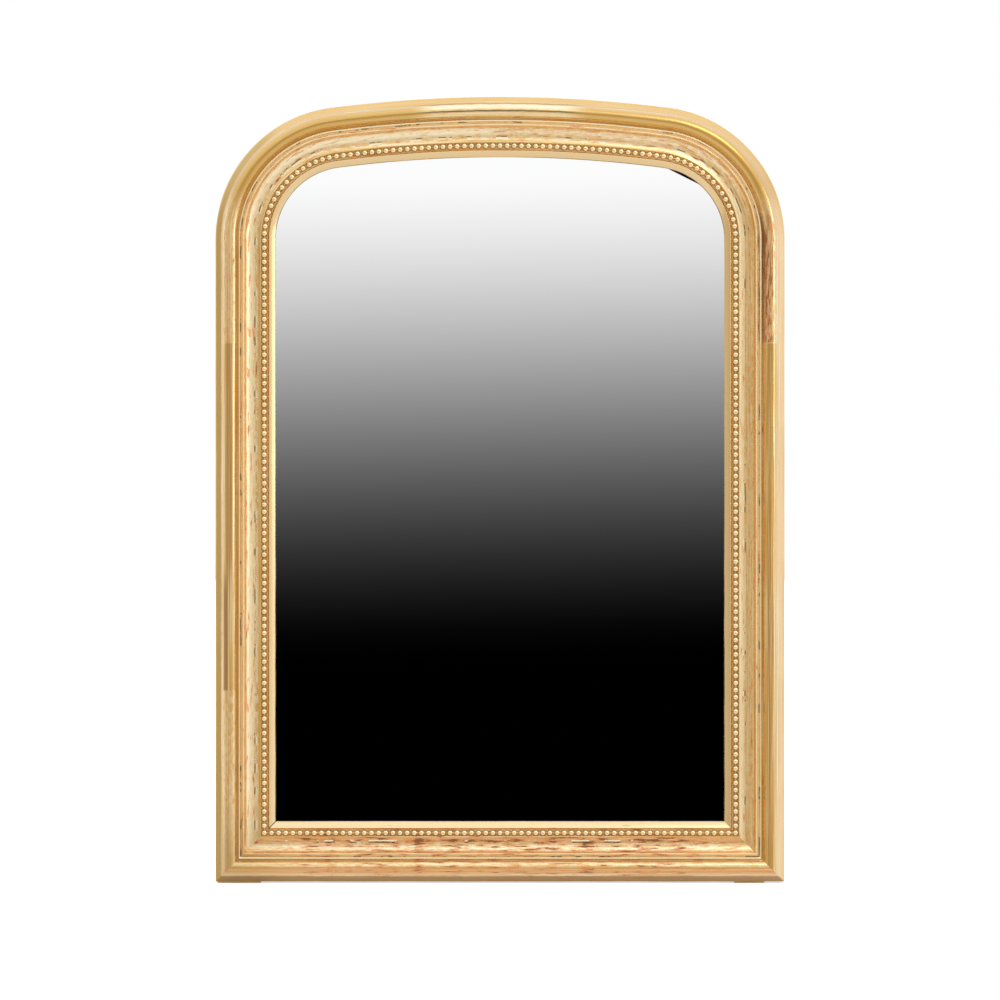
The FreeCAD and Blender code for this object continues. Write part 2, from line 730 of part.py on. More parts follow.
# One faceted bead of moulded composition, standing on the floor of the channel.
def bead_shape():
    rings = []
    for diameter, height in (("pearl_diameter", "0"), ("pearl_tip_diameter", "pearl_projection")):
        radius = value(diameter) / 2
        turns = [2 * math.pi * side / PEARL_SIDES for side in range(PEARL_SIDES)]
        rings.append([FreeCAD.Vector(radius * math.cos(turn), -value(height), radius * math.sin(turn))
                      for turn in turns])
    foot_ring, tip_ring = rings
    faces = [flat_face(foot_ring), flat_face(tip_ring)]
    for side in range(PEARL_SIDES):
        after = (side + 1) % PEARL_SIDES
        faces.append(flat_face([foot_ring[side], foot_ring[after], tip_ring[after], tip_ring[side]]))
    return Part.makeSolid(Part.makeShell(faces))


def flat_face(corners):
    return Part.Face(Part.makePolygon(corners + corners[:1]))


bead = bead_shape()
for part, places in pearl_places().items():
    beads = []
    for across, up, direction in places:
        copy = bead.copy()
        copy.rotate(FreeCAD.Vector(), FreeCAD.Vector(0, 1, 0), -direction)
        copy.translate(FreeCAD.Vector(across, -value("channel_floor"), up))
        beads.append(copy)
    string = doc.addObject("Part::Feature", "pearls_" + part)
    string.Label = "pearls_" + part
    string.Shape = Part.makeCompound(beads)
    seat(string)
    sub_parts.append(string)
doc.recompute()

# Nothing is written unless every object is sound.
for item in doc.Objects:
    if "Invalid" in item.State or "Error" in item.State:
        raise RuntimeError(f"{item.Label} failed: {item.State}")
for item in sub_parts:
    if item.Shape.isNull() or not item.Shape.isValid():
        raise RuntimeError(f"{item.Label} has no sound shape")
os.makedirs("parts", exist_ok=True)
for item in sub_parts:
    item.Shape.exportStep(f"parts/{item.Label}.step")
    print(f"{item.Label}: {len(item.Shape.Solids)} solids, {item.Shape.Volume / 1000:.1f} cm3")
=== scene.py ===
# %% [markdown]
# # A gilded arched mirror
# This lesson dresses a mirror whose pieces were drawn beforehand at their real size. The real frame is a pine
# carcass. It carries mouldings of gesso and gold leaf, a string of pearls and a slip that holds the glass.
# Here each piece gets its finished shape and its finish. Lengths are in metres, and the mirror faces -Y.

# %% The tools and the drawn frame
import math
from types import SimpleNamespace

import bmesh
import bpy
from mathutils import Matrix, Vector, noise


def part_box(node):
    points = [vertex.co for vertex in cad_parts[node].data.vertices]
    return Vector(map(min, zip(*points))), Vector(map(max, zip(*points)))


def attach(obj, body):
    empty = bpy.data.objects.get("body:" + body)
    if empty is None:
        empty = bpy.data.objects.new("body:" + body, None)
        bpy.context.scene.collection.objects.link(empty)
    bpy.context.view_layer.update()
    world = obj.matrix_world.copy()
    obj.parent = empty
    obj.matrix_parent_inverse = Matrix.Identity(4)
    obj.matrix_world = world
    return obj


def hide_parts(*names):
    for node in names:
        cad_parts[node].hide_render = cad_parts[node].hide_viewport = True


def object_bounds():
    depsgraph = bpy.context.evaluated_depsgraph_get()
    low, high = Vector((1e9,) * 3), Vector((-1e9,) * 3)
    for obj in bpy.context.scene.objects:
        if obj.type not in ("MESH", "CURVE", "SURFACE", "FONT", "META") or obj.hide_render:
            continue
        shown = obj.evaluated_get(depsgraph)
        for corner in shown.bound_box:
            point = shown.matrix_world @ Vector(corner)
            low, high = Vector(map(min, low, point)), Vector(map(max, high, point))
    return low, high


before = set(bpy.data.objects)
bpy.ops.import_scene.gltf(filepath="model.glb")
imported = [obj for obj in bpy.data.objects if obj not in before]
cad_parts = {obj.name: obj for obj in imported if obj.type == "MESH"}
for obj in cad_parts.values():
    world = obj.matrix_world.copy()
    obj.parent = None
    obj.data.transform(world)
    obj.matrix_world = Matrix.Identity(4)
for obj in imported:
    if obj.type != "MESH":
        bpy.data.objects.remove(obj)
cad_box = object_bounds()
MM = 0.001
print("pieces drawn:", len(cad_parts))

# %% [markdown]
# ## Where things are
# The drawn pieces give most places: the width, the back, the top of the feet and the line where the sides
# end and the upper corners begin, called the spring. The corner radius is a real size. The radius of the
# flat arch follows from it, because the arch touches both corners without a kink.

# %% Places read from the drawn pieces
side_low, side_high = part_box("outer_moulding_left")
carcass_low, carcass_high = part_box("carcass_rail_bottom")
half_width = -side_low.x
foot_top = carcass_low.z
back_plane = carcass_high.y
carcass_front = carcass_low.y
spring = side_high.z
top = cad_box[1].z
corner_radius = 185 * MM
rise = top - spring
corner_centre = half_width - corner_radius
arch_radius = (corner_centre ** 2 + rise ** 2 - corner_radius ** 2) / (2 * (rise - corner_radius))
arch_centre = top - arch_radius
arch_angle = math.asin(corner_centre / (arch_radius - corner_radius))
corner_sweep = math.pi / 2 - arch_angle
print("arch radius in mm:", round(arch_radius / MM, 1))

# %% [markdown]
# ## Distance along the moulding
# Wear and brush marks follow a moulding, so each point needs its distance along the frame. It starts at the
# lower left corner, climbs the left side, crosses the arch and comes down the right side. The bottom has a
# count of its own, far above the others, so that a finish can tell it apart.

# %% Distance along the frame
MIDDLE_INSET = 42 * MM
BOTTOM_START = 4.0
corner_length = corner_sweep * (corner_radius - MIDDLE_INSET)
crown_length = 2 * arch_angle * (arch_radius - MIDDLE_INSET)
side_length = spring - foot_top


def along_frame(member, point):
    if member == "bottom":
        return BOTTOM_START + point.x
    if member == "left":
        return point.z - foot_top
    if member == "right":
        return side_length + 2 * corner_length + crown_length + spring - point.z
    angle = math.atan2(point.x, point.z - arch_centre)
    if abs(angle) <= arch_angle:
        return side_length + corner_length + (angle + arch_angle) * (arch_radius - MIDDLE_INSET)
    side = math.copysign(1, point.x)
    turned = math.atan2(point.z - spring, side * point.x - corner_centre)
    way = max(turned, 0) * (corner_radius - MIDDLE_INSET)
    return side_length + (way if side < 0 else 2 * corner_length + crown_length - way)


print("length of the arch in mm:", round((2 * corner_length + crown_length) / MM))

# %% [markdown]
# ## Drawing a section
# A moulding is known by its section, the shape of its sawn end. The section is drawn flat, like a line with
# a pen: a corner is (inset, height), and a corner with a radius starts an arc to the next one. Insets count
# from the outer edge of the frame, heights from its flat back. Spin turns one vertex into an arc. A vertex
# bevel then rounds the sharp corners, because gesso never keeps a knife edge.

# %% A closed section drawn with a pen
ARC_STEP = 0.9 * MM
FEWEST_STEPS = 4
SHARP_CORNER = math.radians(25)


def arc_centre_and_turn(first, last, radius, forwards):
    chord = last - first
    reach = math.sqrt(max(radius ** 2 - (chord.length / 2) ** 2, 0))
    towards = Vector((chord.y, -chord.x, 0)).normalized()
    centre = (first + last) / 2 + (towards * -reach if forwards else towards * reach)
    turn = 2 * math.asin(min(chord.length / 2 / radius, 1))
    return centre, turn if forwards else -turn


def turning(vert):
    before, after = (edge.other_vert(vert).co - vert.co for edge in vert.link_edges)
    return math.pi - before.angle(after)


def draw_section(corners, edge_round, arc_step=ARC_STEP):
    drawing = bmesh.new()
    points = [Vector((corner[0], -corner[1], 0)) * MM for corner in corners]
    tip = drawing.verts.new(points[0])
    for number, corner in enumerate(corners):
        target = points[(number + 1) % len(points)]
        if len(corner) > 2:
            radius = corner[2] * MM
            centre, turn = arc_centre_and_turn(points[number], target, radius, corner[3])
            steps = max(FEWEST_STEPS, round(abs(turn) * radius / arc_step))
            made = bmesh.ops.spin(drawing, geom=[tip], cent=centre, axis=(0, 0, 1), angle=turn, steps=steps)
            tip = made["geom_last"][0]
        elif number == len(corners) - 1:
            drawing.edges.new((tip, drawing.verts[0]))
        else:
            tip = bmesh.ops.extrude_vert_indiv(drawing, verts=[tip])["verts"][0]
            tip.co = target
        drawing.verts.ensure_lookup_table()
    sharp = [vert for vert in drawing.verts if turning(vert) > SHARP_CORNER]
    bmesh.ops.bevel(drawing, geom=sharp, offset=edge_round * MM, offset_type="OFFSET", affect="VERTICES",
                    segments=2, profile=0.5, material=-1)
    return drawing


trial = draw_section([(0, 0), (0, 4, 2, True), (4, 4), (4, 0)], 0.5)
print("points of a small section with one arc:", len(trial.verts))
trial.free()

# %% [markdown]
# ## What each point of a section knows
# A finish follows a moulding: dirt gathers in grooves, where painted shade is laid too, and leaf rubs off on
# ridges. So each vertex keeps a vector named "moulding" with its distances along the frame, across the
# section and from the outer edge, and a number named "wear" that runs from -1 in a groove to 1 on a ridge.
# The wear is the sum of the turns of the section within a short reach.

# %% Distances and wear stored on the section
WEAR_REACH = 2.0 * MM
FULL_TURN_OF_WEAR = 1.3


def walk(drawing):
    drawing.verts.ensure_lookup_table()
    chain = [drawing.verts[0]]
    edge = chain[0].link_edges[0]
    while edge.other_vert(chain[-1]) != chain[0]:
        chain.append(edge.other_vert(chain[-1]))
        edge = next(other for other in chain[-1].link_edges if other != edge)
    return chain


def mark_section(drawing):
    place_layer = drawing.verts.layers.float_vector.new("moulding")
    wear_layer = drawing.verts.layers.float.new("wear")
    chain = walk(drawing)
    area = sum(one.co.x * two.co.y - two.co.x * one.co.y for one, two in zip(chain, chain[1:] + chain[:1]))
    across, stations, turns = 0.0, [], []
    for number, vert in enumerate(chain):
        ahead = chain[(number + 1) % len(chain)].co - vert.co
        behind = vert.co - chain[number - 1].co
        turn = math.atan2(behind.x * ahead.y - behind.y * ahead.x, behind.dot(ahead))
        stations.append(across)
        turns.append(math.copysign(1, area) * turn)
        across += ahead.length
    for vert, station in zip(chain, stations):
        near = sum(turn for other, turn in zip(stations, turns) if abs(other - station) < WEAR_REACH)
        vert[wear_layer] = max(-1, min(1, near / FULL_TURN_OF_WEAR))
        vert[place_layer] = (0, station, vert.co.x)


print("wear is full where the section turns by degrees:", round(math.degrees(FULL_TURN_OF_WEAR)))

# %% [markdown]
# ## Running a section along the frame
# A moulding is long and its section never changes, so the drawn section is swept: spin with a turn makes
# the curved parts, and spin with a step but no turn makes the straight ones. Each length is then cut on the
# mitre plane with a bisect and its open ends are filled. Steps are short enough for hand-scraped unevenness.

# %% Runs of moulding
STRAIGHT_STEP = 8 * MM
BEND_STEP = 6 * MM
ORIGIN = Vector((0, 0, 0))
UP = Vector((0, 0, 1))
RIGHT = Vector((1, 0, 0))
LEFT_CORNER = Vector((-corner_centre, 0, spring))
RIGHT_CORNER = Vector((corner_centre, 0, spring))
ARCH_MIDDLE = Vector((0, 0, arch_centre))


# Sets a section at its start and sweeps it along legs of (centre, turn, move). A straight leg has no turn.
def sweep(shape, start, legs, bend_step=BEND_STEP):
    bmesh.ops.transform(shape, matrix=start, verts=shape.verts)
    tip = shape.verts[:] + shape.edges[:]
    for centre, turn, move in legs:
        length = move.length if move else abs(turn) * (tip[0].co - centre).length
        steps = max(1, round(length / (STRAIGHT_STEP if move else bend_step)))
        step_move = move / steps if move else ORIGIN
        made = bmesh.ops.spin(shape, geom=tip, cent=centre, axis=(0, 1, 0), dvec=step_move, angle=turn,
                              steps=steps)
        tip = made["geom_last"]


def straight(move):
    return (ORIGIN, 0, move)


def bend(centre, turn):
    return (centre, turn, None)


AT_LEFT = Matrix.Translation((-half_width, back_plane, spring))
AT_RIGHT = Matrix.Translation((half_width, back_plane, spring)) @ Matrix.Rotation(math.pi, 4, "Y")
AT_BOTTOM = Matrix.Translation((-half_width, back_plane, foot_top)) @ Matrix.Rotation(-math.pi / 2, 4, "Y")
RUNS = {
    "left": (AT_LEFT, [straight(-UP * side_length)]),
    "right": (AT_RIGHT, [straight(-UP * side_length)]),
    "bottom": (AT_BOTTOM, [straight(RIGHT * 2 * half_width)]),
    "arch": (AT_LEFT, [bend(LEFT_CORNER, corner_sweep), bend(ARCH_MIDDLE, 2 * arch_angle),
                       bend(RIGHT_CORNER, corner_sweep)]),
}
print("runs:", ", ".join(RUNS))

# %% [markdown]
# ## Sawing and filling
# A mitre plane passes through a lower corner of the frame, and the member lies on its inner side. Shrinkage
# has opened some joints at the left corner. Bisect cuts a shape on a plane and leaves it open, so its ends
# are filled afterwards.

# %% Mitres and ends
SAME_PLACE = 1e-7
TOUCHING = 1e-6


def cut(shape, point, normal):
    bmesh.ops.bisect_plane(shape, geom=shape.verts[:] + shape.edges[:] + shape.faces[:], dist=SAME_PLACE,
                           plane_co=point, plane_no=normal, clear_outer=True)


def cut_mitres(shape, member, opening=0.0):
    for side in (-1, 1):
        corner = Vector((side * half_width, 0, foot_top))
        shrinkage = opening if side < 0 else 0
        if member == "bottom":
            cut(shape, corner - RIGHT * side * shrinkage, Vector((side, 0, 1)))
        elif (member == "left") == (side < 0) and member != "arch":
            cut(shape, corner + UP * shrinkage, Vector((-side, 0, -1)))


def close_ends(shape):
    open_edges = [edge for edge in shape.edges if edge.is_boundary]
    bmesh.ops.holes_fill(shape, edges=open_edges, sides=0)


print("mitred members:", [member for member in RUNS if member != "arch"])

# %% [markdown]
# ## Hand-scraped gesso
# A moulding from a machine would be dead straight. This one was built up in layers of gesso and scraped with
# a shaped iron, so its surface wanders by a tenth of a millimetre or so. Moving the vertices with a smooth
# noise gives reflections their gentle waver, which a bump alone can't give to the outline.

# %% Unevenness
SCRAPE_DEPTH = 0.16 * MM
RIPPLE_SHARE = 0.35
WAVES_PER_METRE = (22, 70)
RIPPLES_PER_METRE = (70, 160)
SEED_OF_RIPPLES = 9
UNSCRAPED = 0.5 * MM


def unevenness(along, across, per_metre, seed):
    return noise.noise(Vector((along * per_metre[0], across * per_metre[1], seed)))


def scrape(shape, member, seed):
    place_layer = shape.verts.layers.float_vector["moulding"]
    shape.normal_update()
    for vert in shape.verts:
        along = along_frame(member, vert.co)
        across = vert[place_layer].y
        vert[place_layer].x = along
        if carcass_front - vert.co.y > UNSCRAPED:
            wave = unevenness(along, across, WAVES_PER_METRE, seed)
            ripple = unevenness(along, across, RIPPLES_PER_METRE, seed + SEED_OF_RIPPLES)
            vert.co += vert.normal * SCRAPE_DEPTH * (wave + RIPPLE_SHARE * ripple)


print("waves in mm:", [round(1 / count / MM) for count in WAVES_PER_METRE])

# %% [markdown]
# ## From a shape to a piece
# A shape becomes a mesh with its faces pointing outwards, smooth but for its true edges. It gets its finish,
# rides on its body and takes the place of the drawn node that it stands for. Shapes that belong to one piece
# are joined first.

# %% Finishing and joining
TRUE_EDGE_DEGREES = 38


def finish_piece(shape, name, nodes, material, body="frame", sharp_degrees=TRUE_EDGE_DEGREES):
    bmesh.ops.recalc_face_normals(shape, faces=shape.faces[:])
    mesh = bpy.data.meshes.new(name)
    shape.to_mesh(mesh)
    shape.free()
    mesh.shade_smooth()
    mesh.set_sharp_from_angle(angle=math.radians(sharp_degrees))
    mesh.materials.append(material)
    piece = bpy.data.objects.new(name, mesh)
    bpy.context.scene.collection.objects.link(piece)
    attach(piece, body)
    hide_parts(*nodes)
    print(name, len(mesh.polygons), "faces")
    return piece


def joined(shapes):
    whole = bmesh.new()
    for shape in shapes:
        mesh = bpy.data.meshes.new("part")
        shape.to_mesh(mesh)
        shape.free()
        whole.from_mesh(mesh)
        bpy.data.meshes.remove(mesh)
    return whole


print("edges sharper than", TRUE_EDGE_DEGREES, "degrees stay sharp")

# %% [markdown]
# ## Colours and nodes
# Colours are written as the eye names them, in sRGB hex, and turned to linear light for the shader. One
# small function adds a node, sets its values and makes its links.

# %% Colour and node helpers
def linear(hex_colour):
    channels = [int(hex_colour[start:start + 2], 16) / 255 for start in (1, 3, 5)]
    return [c / 12.92 if c <= 0.04045 else ((c + 0.055) / 1.055) ** 2.4 for c in channels] + [1]


def add_node(tree, kind, inputs=None, stops=None, **settings):
    node = tree.nodes.new("ShaderNode" + kind)
    for name, setting in settings.items():
        setattr(node, name, setting)
    for socket, given in (inputs or {}).items():
        if isinstance(given, bpy.types.NodeSocket):
            tree.links.new(given, node.inputs[socket])
        else:
            node.inputs[socket].default_value = linear(given) if isinstance(given, str) else given
    if stops:
        band = node.color_ramp
        band.elements.remove(band.elements[0])
        for number, (position, grey) in enumerate(stops):
            element = band.elements[0] if number == 0 else band.elements.new(position)
            element.position = position
            element.color = (grey, grey, grey, 1)
    return node


def new_material(name):
    material = bpy.data.materials.new(name)
    material.use_nodes = True
    material.node_tree.nodes.clear()
    return material, material.node_tree


def finish_material(tree, **inputs):
    shader = add_node(tree, "BsdfPrincipled", {key.replace("_", " "): given for key, given in inputs.items()})
    add_node(tree, "OutputMaterial", {"Surface": shader.outputs[0]})


print("middle grey in linear light:", round(linear("#808080")[0], 3))

# %% [markdown]
# ## Masks
# A mask is a number from 0 to 1 that tells how much of something shows at a point. Masks are multiplied where
# all have to hold, and the largest counts where one is enough. A socket knows its tree, so these helpers
# don't have to be told. The last one lays a colour over another where a mask says.

# %% Helpers for masks
def tree_of(*parts):
    return next(part.id_data for part in parts if isinstance(part, bpy.types.NodeSocket))


def combined(operation, parts):
    whole = parts[0]
    for part in parts[1:]:
        whole = add_node(tree_of(*parts), "Math", {0: whole, 1: part}, operation=operation).outputs[0]
    return whole


def product(*parts):
    return combined("MULTIPLY", parts)


def total(*parts):
    return combined("ADD", parts)


def either(*parts):
    return combined("MAXIMUM", parts)


def opposite(mask):
    return combined("SUBTRACT", (1.0, mask))


# Goes smoothly from 0 to 1 while a number goes from one level to another.
def step(given, none_at, full_at):
    node = add_node(tree_of(given), "MapRange", {0: given, 1: none_at, 2: full_at},
                    interpolation_type="SMOOTHSTEP", clamp=True)
    return node.outputs[0]


# Sockets 6 and 7 of the node take the colours, and output 2 gives the mix.
def laid_over(under, mask, over, blend="MIX"):
    node = add_node(tree_of(under, mask, over), "Mix", {0: mask, 6: under, 7: over}, data_type="RGBA",
                    blend_type=blend)
    return node.outputs[2]


print("mask helpers:", [helper.__name__ for helper in (product, total, either, opposite, step, laid_over)])

# %% [markdown]
# ## Patches of a real size
# Most marks of age are irregular patches. Noise is given the size of its patches in millimetres along each
# axis, so that grain, dirt and streaks keep their true scale. A size of 0 means that nothing changes along
# that axis, and a seed picks another part of the noise. Scratches in real leaf are finer than a pixel of
# the render, so they are drawn about a millimetre wide, as coarse as they need to show.

# %% Noise with patches of a real size
def patches(place, sizes, detail=4, seed=0.0, distortion=0.0):
    scales = [1 / (size * MM) if size else 0 for size in sizes]
    fitted = add_node(tree_of(place), "VectorMath", {0: place, 1: scales, 2: (seed, seed, seed)},
                      operation="MULTIPLY_ADD")
    sockets = {"Vector": fitted.outputs[0], "Scale": 1.0, "Detail": detail, "Distortion": distortion}
    return add_node(tree_of(place), "TexNoise", sockets).outputs[0]


print("noise scale for patches of 2 mm:", round(1 / (2 * MM)))

# %% [markdown]
# ## Water gilding over red bole
# Gold leaf is laid over red clay, called bole, on white gesso, and burnished with agate. Leaf is a metal, so
# the finish is metallic nearly everywhere and takes most of its light and dark bands from the room; some
# highlights, shade and reflections are painted into its colour as well. Long years of dusting have changed it.
# In the hollow the leaf is mottled cream and rose. Along the bottom, and where it is rubbed, the bole shines
# through in orange. Brown dirt and painted shade sit in the grooves and under the pearls, thin dark dashes
# mark where the leaf has cracked, and a few chips show the white gesso.

# %% Colours of the gilding
LEAF = "#ECBB68"
DEEP_LEAF = "#D29D42"
PALE_LEAF = "#FBDDA6"
ROSE_LEAF = "#F2C08E"
SLIP_LEAF = "#EBC282"
OLIVE_LEAF = "#C09548"
BROWN_LEAF = "#A06A2A"
GILT_EDGE = "#FFE6B0"
BOLE = "#E08F4B"
DARK_BOLE = "#7E4708"
GRIME = "#86592A"
PEARL_DIRT = "#5C3D1A"
OLIVE = "#4E3C14"
GESSO = "#F6EEDF"
print("leaf colour in linear light:", [round(channel, 2) for channel in linear(LEAF)])

# %% [markdown]
# ## Zones of the section and places on the frame
# Each zone of the section has its own wear, as a stretch of insets with a softness. Some zones keep to the
# drawn edges. The others wander by a millimetre or so, as wear does. Places on the frame are levels across,
# up or away from the middle, between which a mask goes from nothing to full.

# %% Zones as (start, end, softness) in millimetres, places as (direction, none at, full at) in metres
DRAWN_ZONES = {
    "roll": (11, 29.5, 0.5), "ridge": (32, 35.2, 0.3), "splay": (35.2, 41, 0.4), "slip": (74, 85, 0.5),
    "pearl_channel": (64.2, 74, 0.3), "low_stripe": (11.8, 17.8, 0.3), "low_stripe_edge": (18.2, 20.2, 0.2),
    "left_stripe": (15.5, 24, 0.6), "right_stripe": (15.5, 24.5, 0.6), "upper_stripe_edge": (24.6, 26.6, 0.2),
}
WANDERING_ZONES = {
    "whole_edge": (-5, 11, 0.4), "top_slope": (-5, 9, 0.6), "under_slope": (-5, 8.5, 1.5),
    "left_slope": (1.6, 8.4, 0.8), "rosy_slope": (3.5, 9, 0.8), "slope_line": (8.8, 10.6, 0.6),
    "pale_slope": (8.8, 12, 0.5), "orange_roll": (11, 20.5, 1.0), "bright_roll": (11.5, 17.2, 0.5),
    "roll_line": (19.4, 21.2, 0.4), "bright_flank": (21.5, 27, 0.5), "shoulder_zone": (16, 37, 1.5),
    "shoulder_edge": (27, 36, 1.5), "chipped_zone": (30, 42, 0.5), "pale_lip": (35.2, 41.5, 0.5),
    "lip_crack": (35.4, 36.6, 0.3), "hollow": (41.5, 60, 1.2), "left_flank": (43, 55, 1.5),
    "tender_flank": (54, 62, 0.5), "flank_crack": (54.4, 56, 0.3), "orange_flank": (56, 63, 1.0),
    "right_flank": (56, 64, 1.5), "flank_line": (56.6, 58.6, 0.4), "dirty_channel": (64.5, 72, 1.0),
    "firm_slip": (74, 85, 0.5),
}
PLACES = {
    "crown": ("up", 0.93, 0.98), "under_crown": ("up", 0.97, 0.90), "upper_shoulder": ("up", 0.80, 0.88),
    "above_joint": ("up", 0.753, 0.757), "below_joint": ("up", 0.757, 0.753), "low": ("up", 0.46, 0.40),
    "above_patch": ("up", 0.268, 0.272), "near_foot": ("up", 0.13, 0.03), "at_foot": ("up", 0.09, 0.08),
    "left": ("across", -0.30, -0.34), "far_left": ("across", -0.33, -0.34),
    "lower_left": ("across", -0.26, -0.38),
    "left_half": ("across", 0.01, -0.01), "right_half": ("across", -0.01, 0.01),
    "right": ("across", 0.30, 0.34), "far_right": ("across", 0.33, 0.36),
    "near_middle": ("off_middle", 0.13, 0.085), "inner_half": ("off_middle", 0.34, 0.22),
}
print("zones:", len(DRAWN_ZONES) + len(WANDERING_ZONES), "places:", len(PLACES))

# %% [markdown]
# ## Reading zones and places
# The shader reads the distances stored on the vertices and the place in space, and turns the tables into
# masks, one for each name.

# %% Masks of the zones and places
WANDER = 2.4 * MM
BOTTOM_FROM = (3.3, 3.4)


def zone(inset, start, end, softness):
    rising = step(inset, (start - softness) * MM, (start + softness) * MM)
    return product(rising, step(inset, (end + softness) * MM, (end - softness) * MM))


def zones_and_places(tree):
    moulding = add_node(tree, "Attribute", attribute_name="moulding").outputs["Vector"]
    place = add_node(tree, "TexCoord").outputs["Object"]
    distances = add_node(tree, "SeparateXYZ", {0: moulding}).outputs
    position = add_node(tree, "SeparateXYZ", {0: place}).outputs
    along, drawn_inset = distances[0], distances[2]
    across, up = position[0], position[2]
    wander = total(patches(moulding, (14, 14, 0), 6, seed=31), -0.5)
    inset = total(drawn_inset, product(wander, WANDER))
    levels = {"across": across, "up": up,
              "off_middle": add_node(tree, "Math", {0: across}, operation="ABSOLUTE").outputs[0]}
    masks = {"moulding": moulding, "place": place, "bottom": step(along, *BOTTOM_FROM)}
    masks.update({name: zone(drawn_inset, *limits) for name, limits in DRAWN_ZONES.items()})
    masks.update({name: zone(inset, *limits) for name, limits in WANDERING_ZONES.items()})
    for name, (way, none_at, full_at) in PLACES.items():
        masks[name] = step(levels[way], none_at, full_at)
    return SimpleNamespace(**masks)


print("zones wander by up to mm:", WANDER / MM / 2)

# %% [markdown]
# ## What happened to the frame
# Stretches of the roll at both sides were regilded and stayed clean. On them a dark stripe is a painted
# reflection of a dark part of the room, with a painted highlight beside it on the left. The shoulder at the
# upper right was handled until its leaf went brown. Dusting rubbed the leaf through in places, most of all
# along the bottom. Gesso shrinks, so the leaf cracked in dashes, and dirt lies in every groove together with
# painted shade.

# %% Regilded stretches with a painted reflection band, and the worn shoulder
def mark_stretches(at):
    at.upright = opposite(at.bottom)
    at.crown_middle = product(at.crown, at.near_middle)
    at.clean = product(at.below_joint, either(at.right_half, at.above_patch), at.upright, at.roll)
    grain_lines = step(patches(at.moulding, (200, 0.9, 0), 3, seed=21), 0.50, 0.56)
    # A painted dark reflection band on the roll, and a painted highlight along its edge on the left.
    stripe = either(product(at.low_stripe, at.left, at.low),
                    product(at.left_stripe, at.left, opposite(at.low), 0.6),
                    product(at.right_stripe, grain_lines, at.right))
    edge = either(product(at.low_stripe_edge, at.low), product(at.upper_stripe_edge, opposite(at.low)))
    at.dark_stripe = product(at.clean, stripe)
    at.stripe_edge = product(at.clean, at.left, edge, 0.7)
    at.shoulder = product(at.far_right, at.above_joint, at.under_crown, at.shoulder_zone)
    grain = step(patches(at.moulding, (34, 1.3, 0), 5, seed=17), 0.50, 0.58)
    edge_grain = product(at.shoulder_edge, step(patches(at.moulding, (40, 5, 0), seed=19), 0.36, 0.5))
    fading = total(product(at.upper_shoulder, 0.45), 0.55)
    at.shoulder_lines = product(at.shoulder, fading, either(grain, edge_grain))


print("the regilded lengths end at m:", PLACES["below_joint"][1])


# %% Rubbed and cracked leaf, dirt and painted shade
RUBBED_FROM = (0.58, 0.66)
WORN_FROM = (0.68, 0.76)


def mark_wear(at):
    wear = add_node(at.place.id_data, "Attribute", attribute_name="wear").outputs["Fac"]
    at.fine = patches(at.place, (2.2, 2.2, 2.2), 5)
    grain = total(at.fine, -0.5)
    tender = total(product(at.bottom, at.inner_half, 0.08), product(at.shoulder, 0.16),
                   product(at.clean, -0.2), product(at.hollow, 0.03), product(at.firm_slip, -0.12),
                   product(at.whole_edge, -0.06), product(at.bottom, at.tender_flank, 0.06),
                   product(at.crown, at.roll, -0.06))
    rubbing = total(patches(at.moulding, (26, 4, 0), 8, seed=3), product(grain, 0.2), tender)
    at.rubbed = step(rubbing, *RUBBED_FROM)
    at.worn_through = step(rubbing, *WORN_FROM)
    dashes = step(total(patches(at.moulding, (20, 40, 0), 5, seed=7), product(grain, 0.15)), 0.57, 0.60)
    at.crack = product(dashes, either(at.lip_crack, at.flank_crack))
    at.bright_lip = product(dashes, at.flank_line)
    # Dirt in the grooves, darkened further by painted shade in the creases.
    at.settled = step(total(product(wear, -1.0), product(grain, 0.5)), 0.6, 1.2)
    # The pearl channel: a little dirt everywhere, and painted shade near the pearls.
    at.channel = product(at.pearl_channel, total(product(at.dirty_channel, 0.4), 0.15))
    # Painted shade on the slope that faces down along the bottom.
    at.underside = product(at.bottom, at.under_slope)


print("leaf is rubbed from", RUBBED_FROM[0], "and worn through from", WORN_FROM[0])


# %% Chips, in cells of which only a few are chosen
CELL_SIZE = 7 * MM


def mark_chips(at):
    cells = add_node(at.place.id_data, "TexVoronoi", {"Vector": at.place, "Scale": 1 / CELL_SIZE})
    rare = add_node(at.place.id_data, "SeparateXYZ", {0: cells.outputs["Color"]}).outputs[0]
    at.chip = product(step(cells.outputs["Distance"], 0.22, 0.12), step(rare, 0.78, 0.80), at.far_left,
                      at.at_foot, at.chipped_zone)


print("chips lie in cells of mm:", CELL_SIZE / MM)


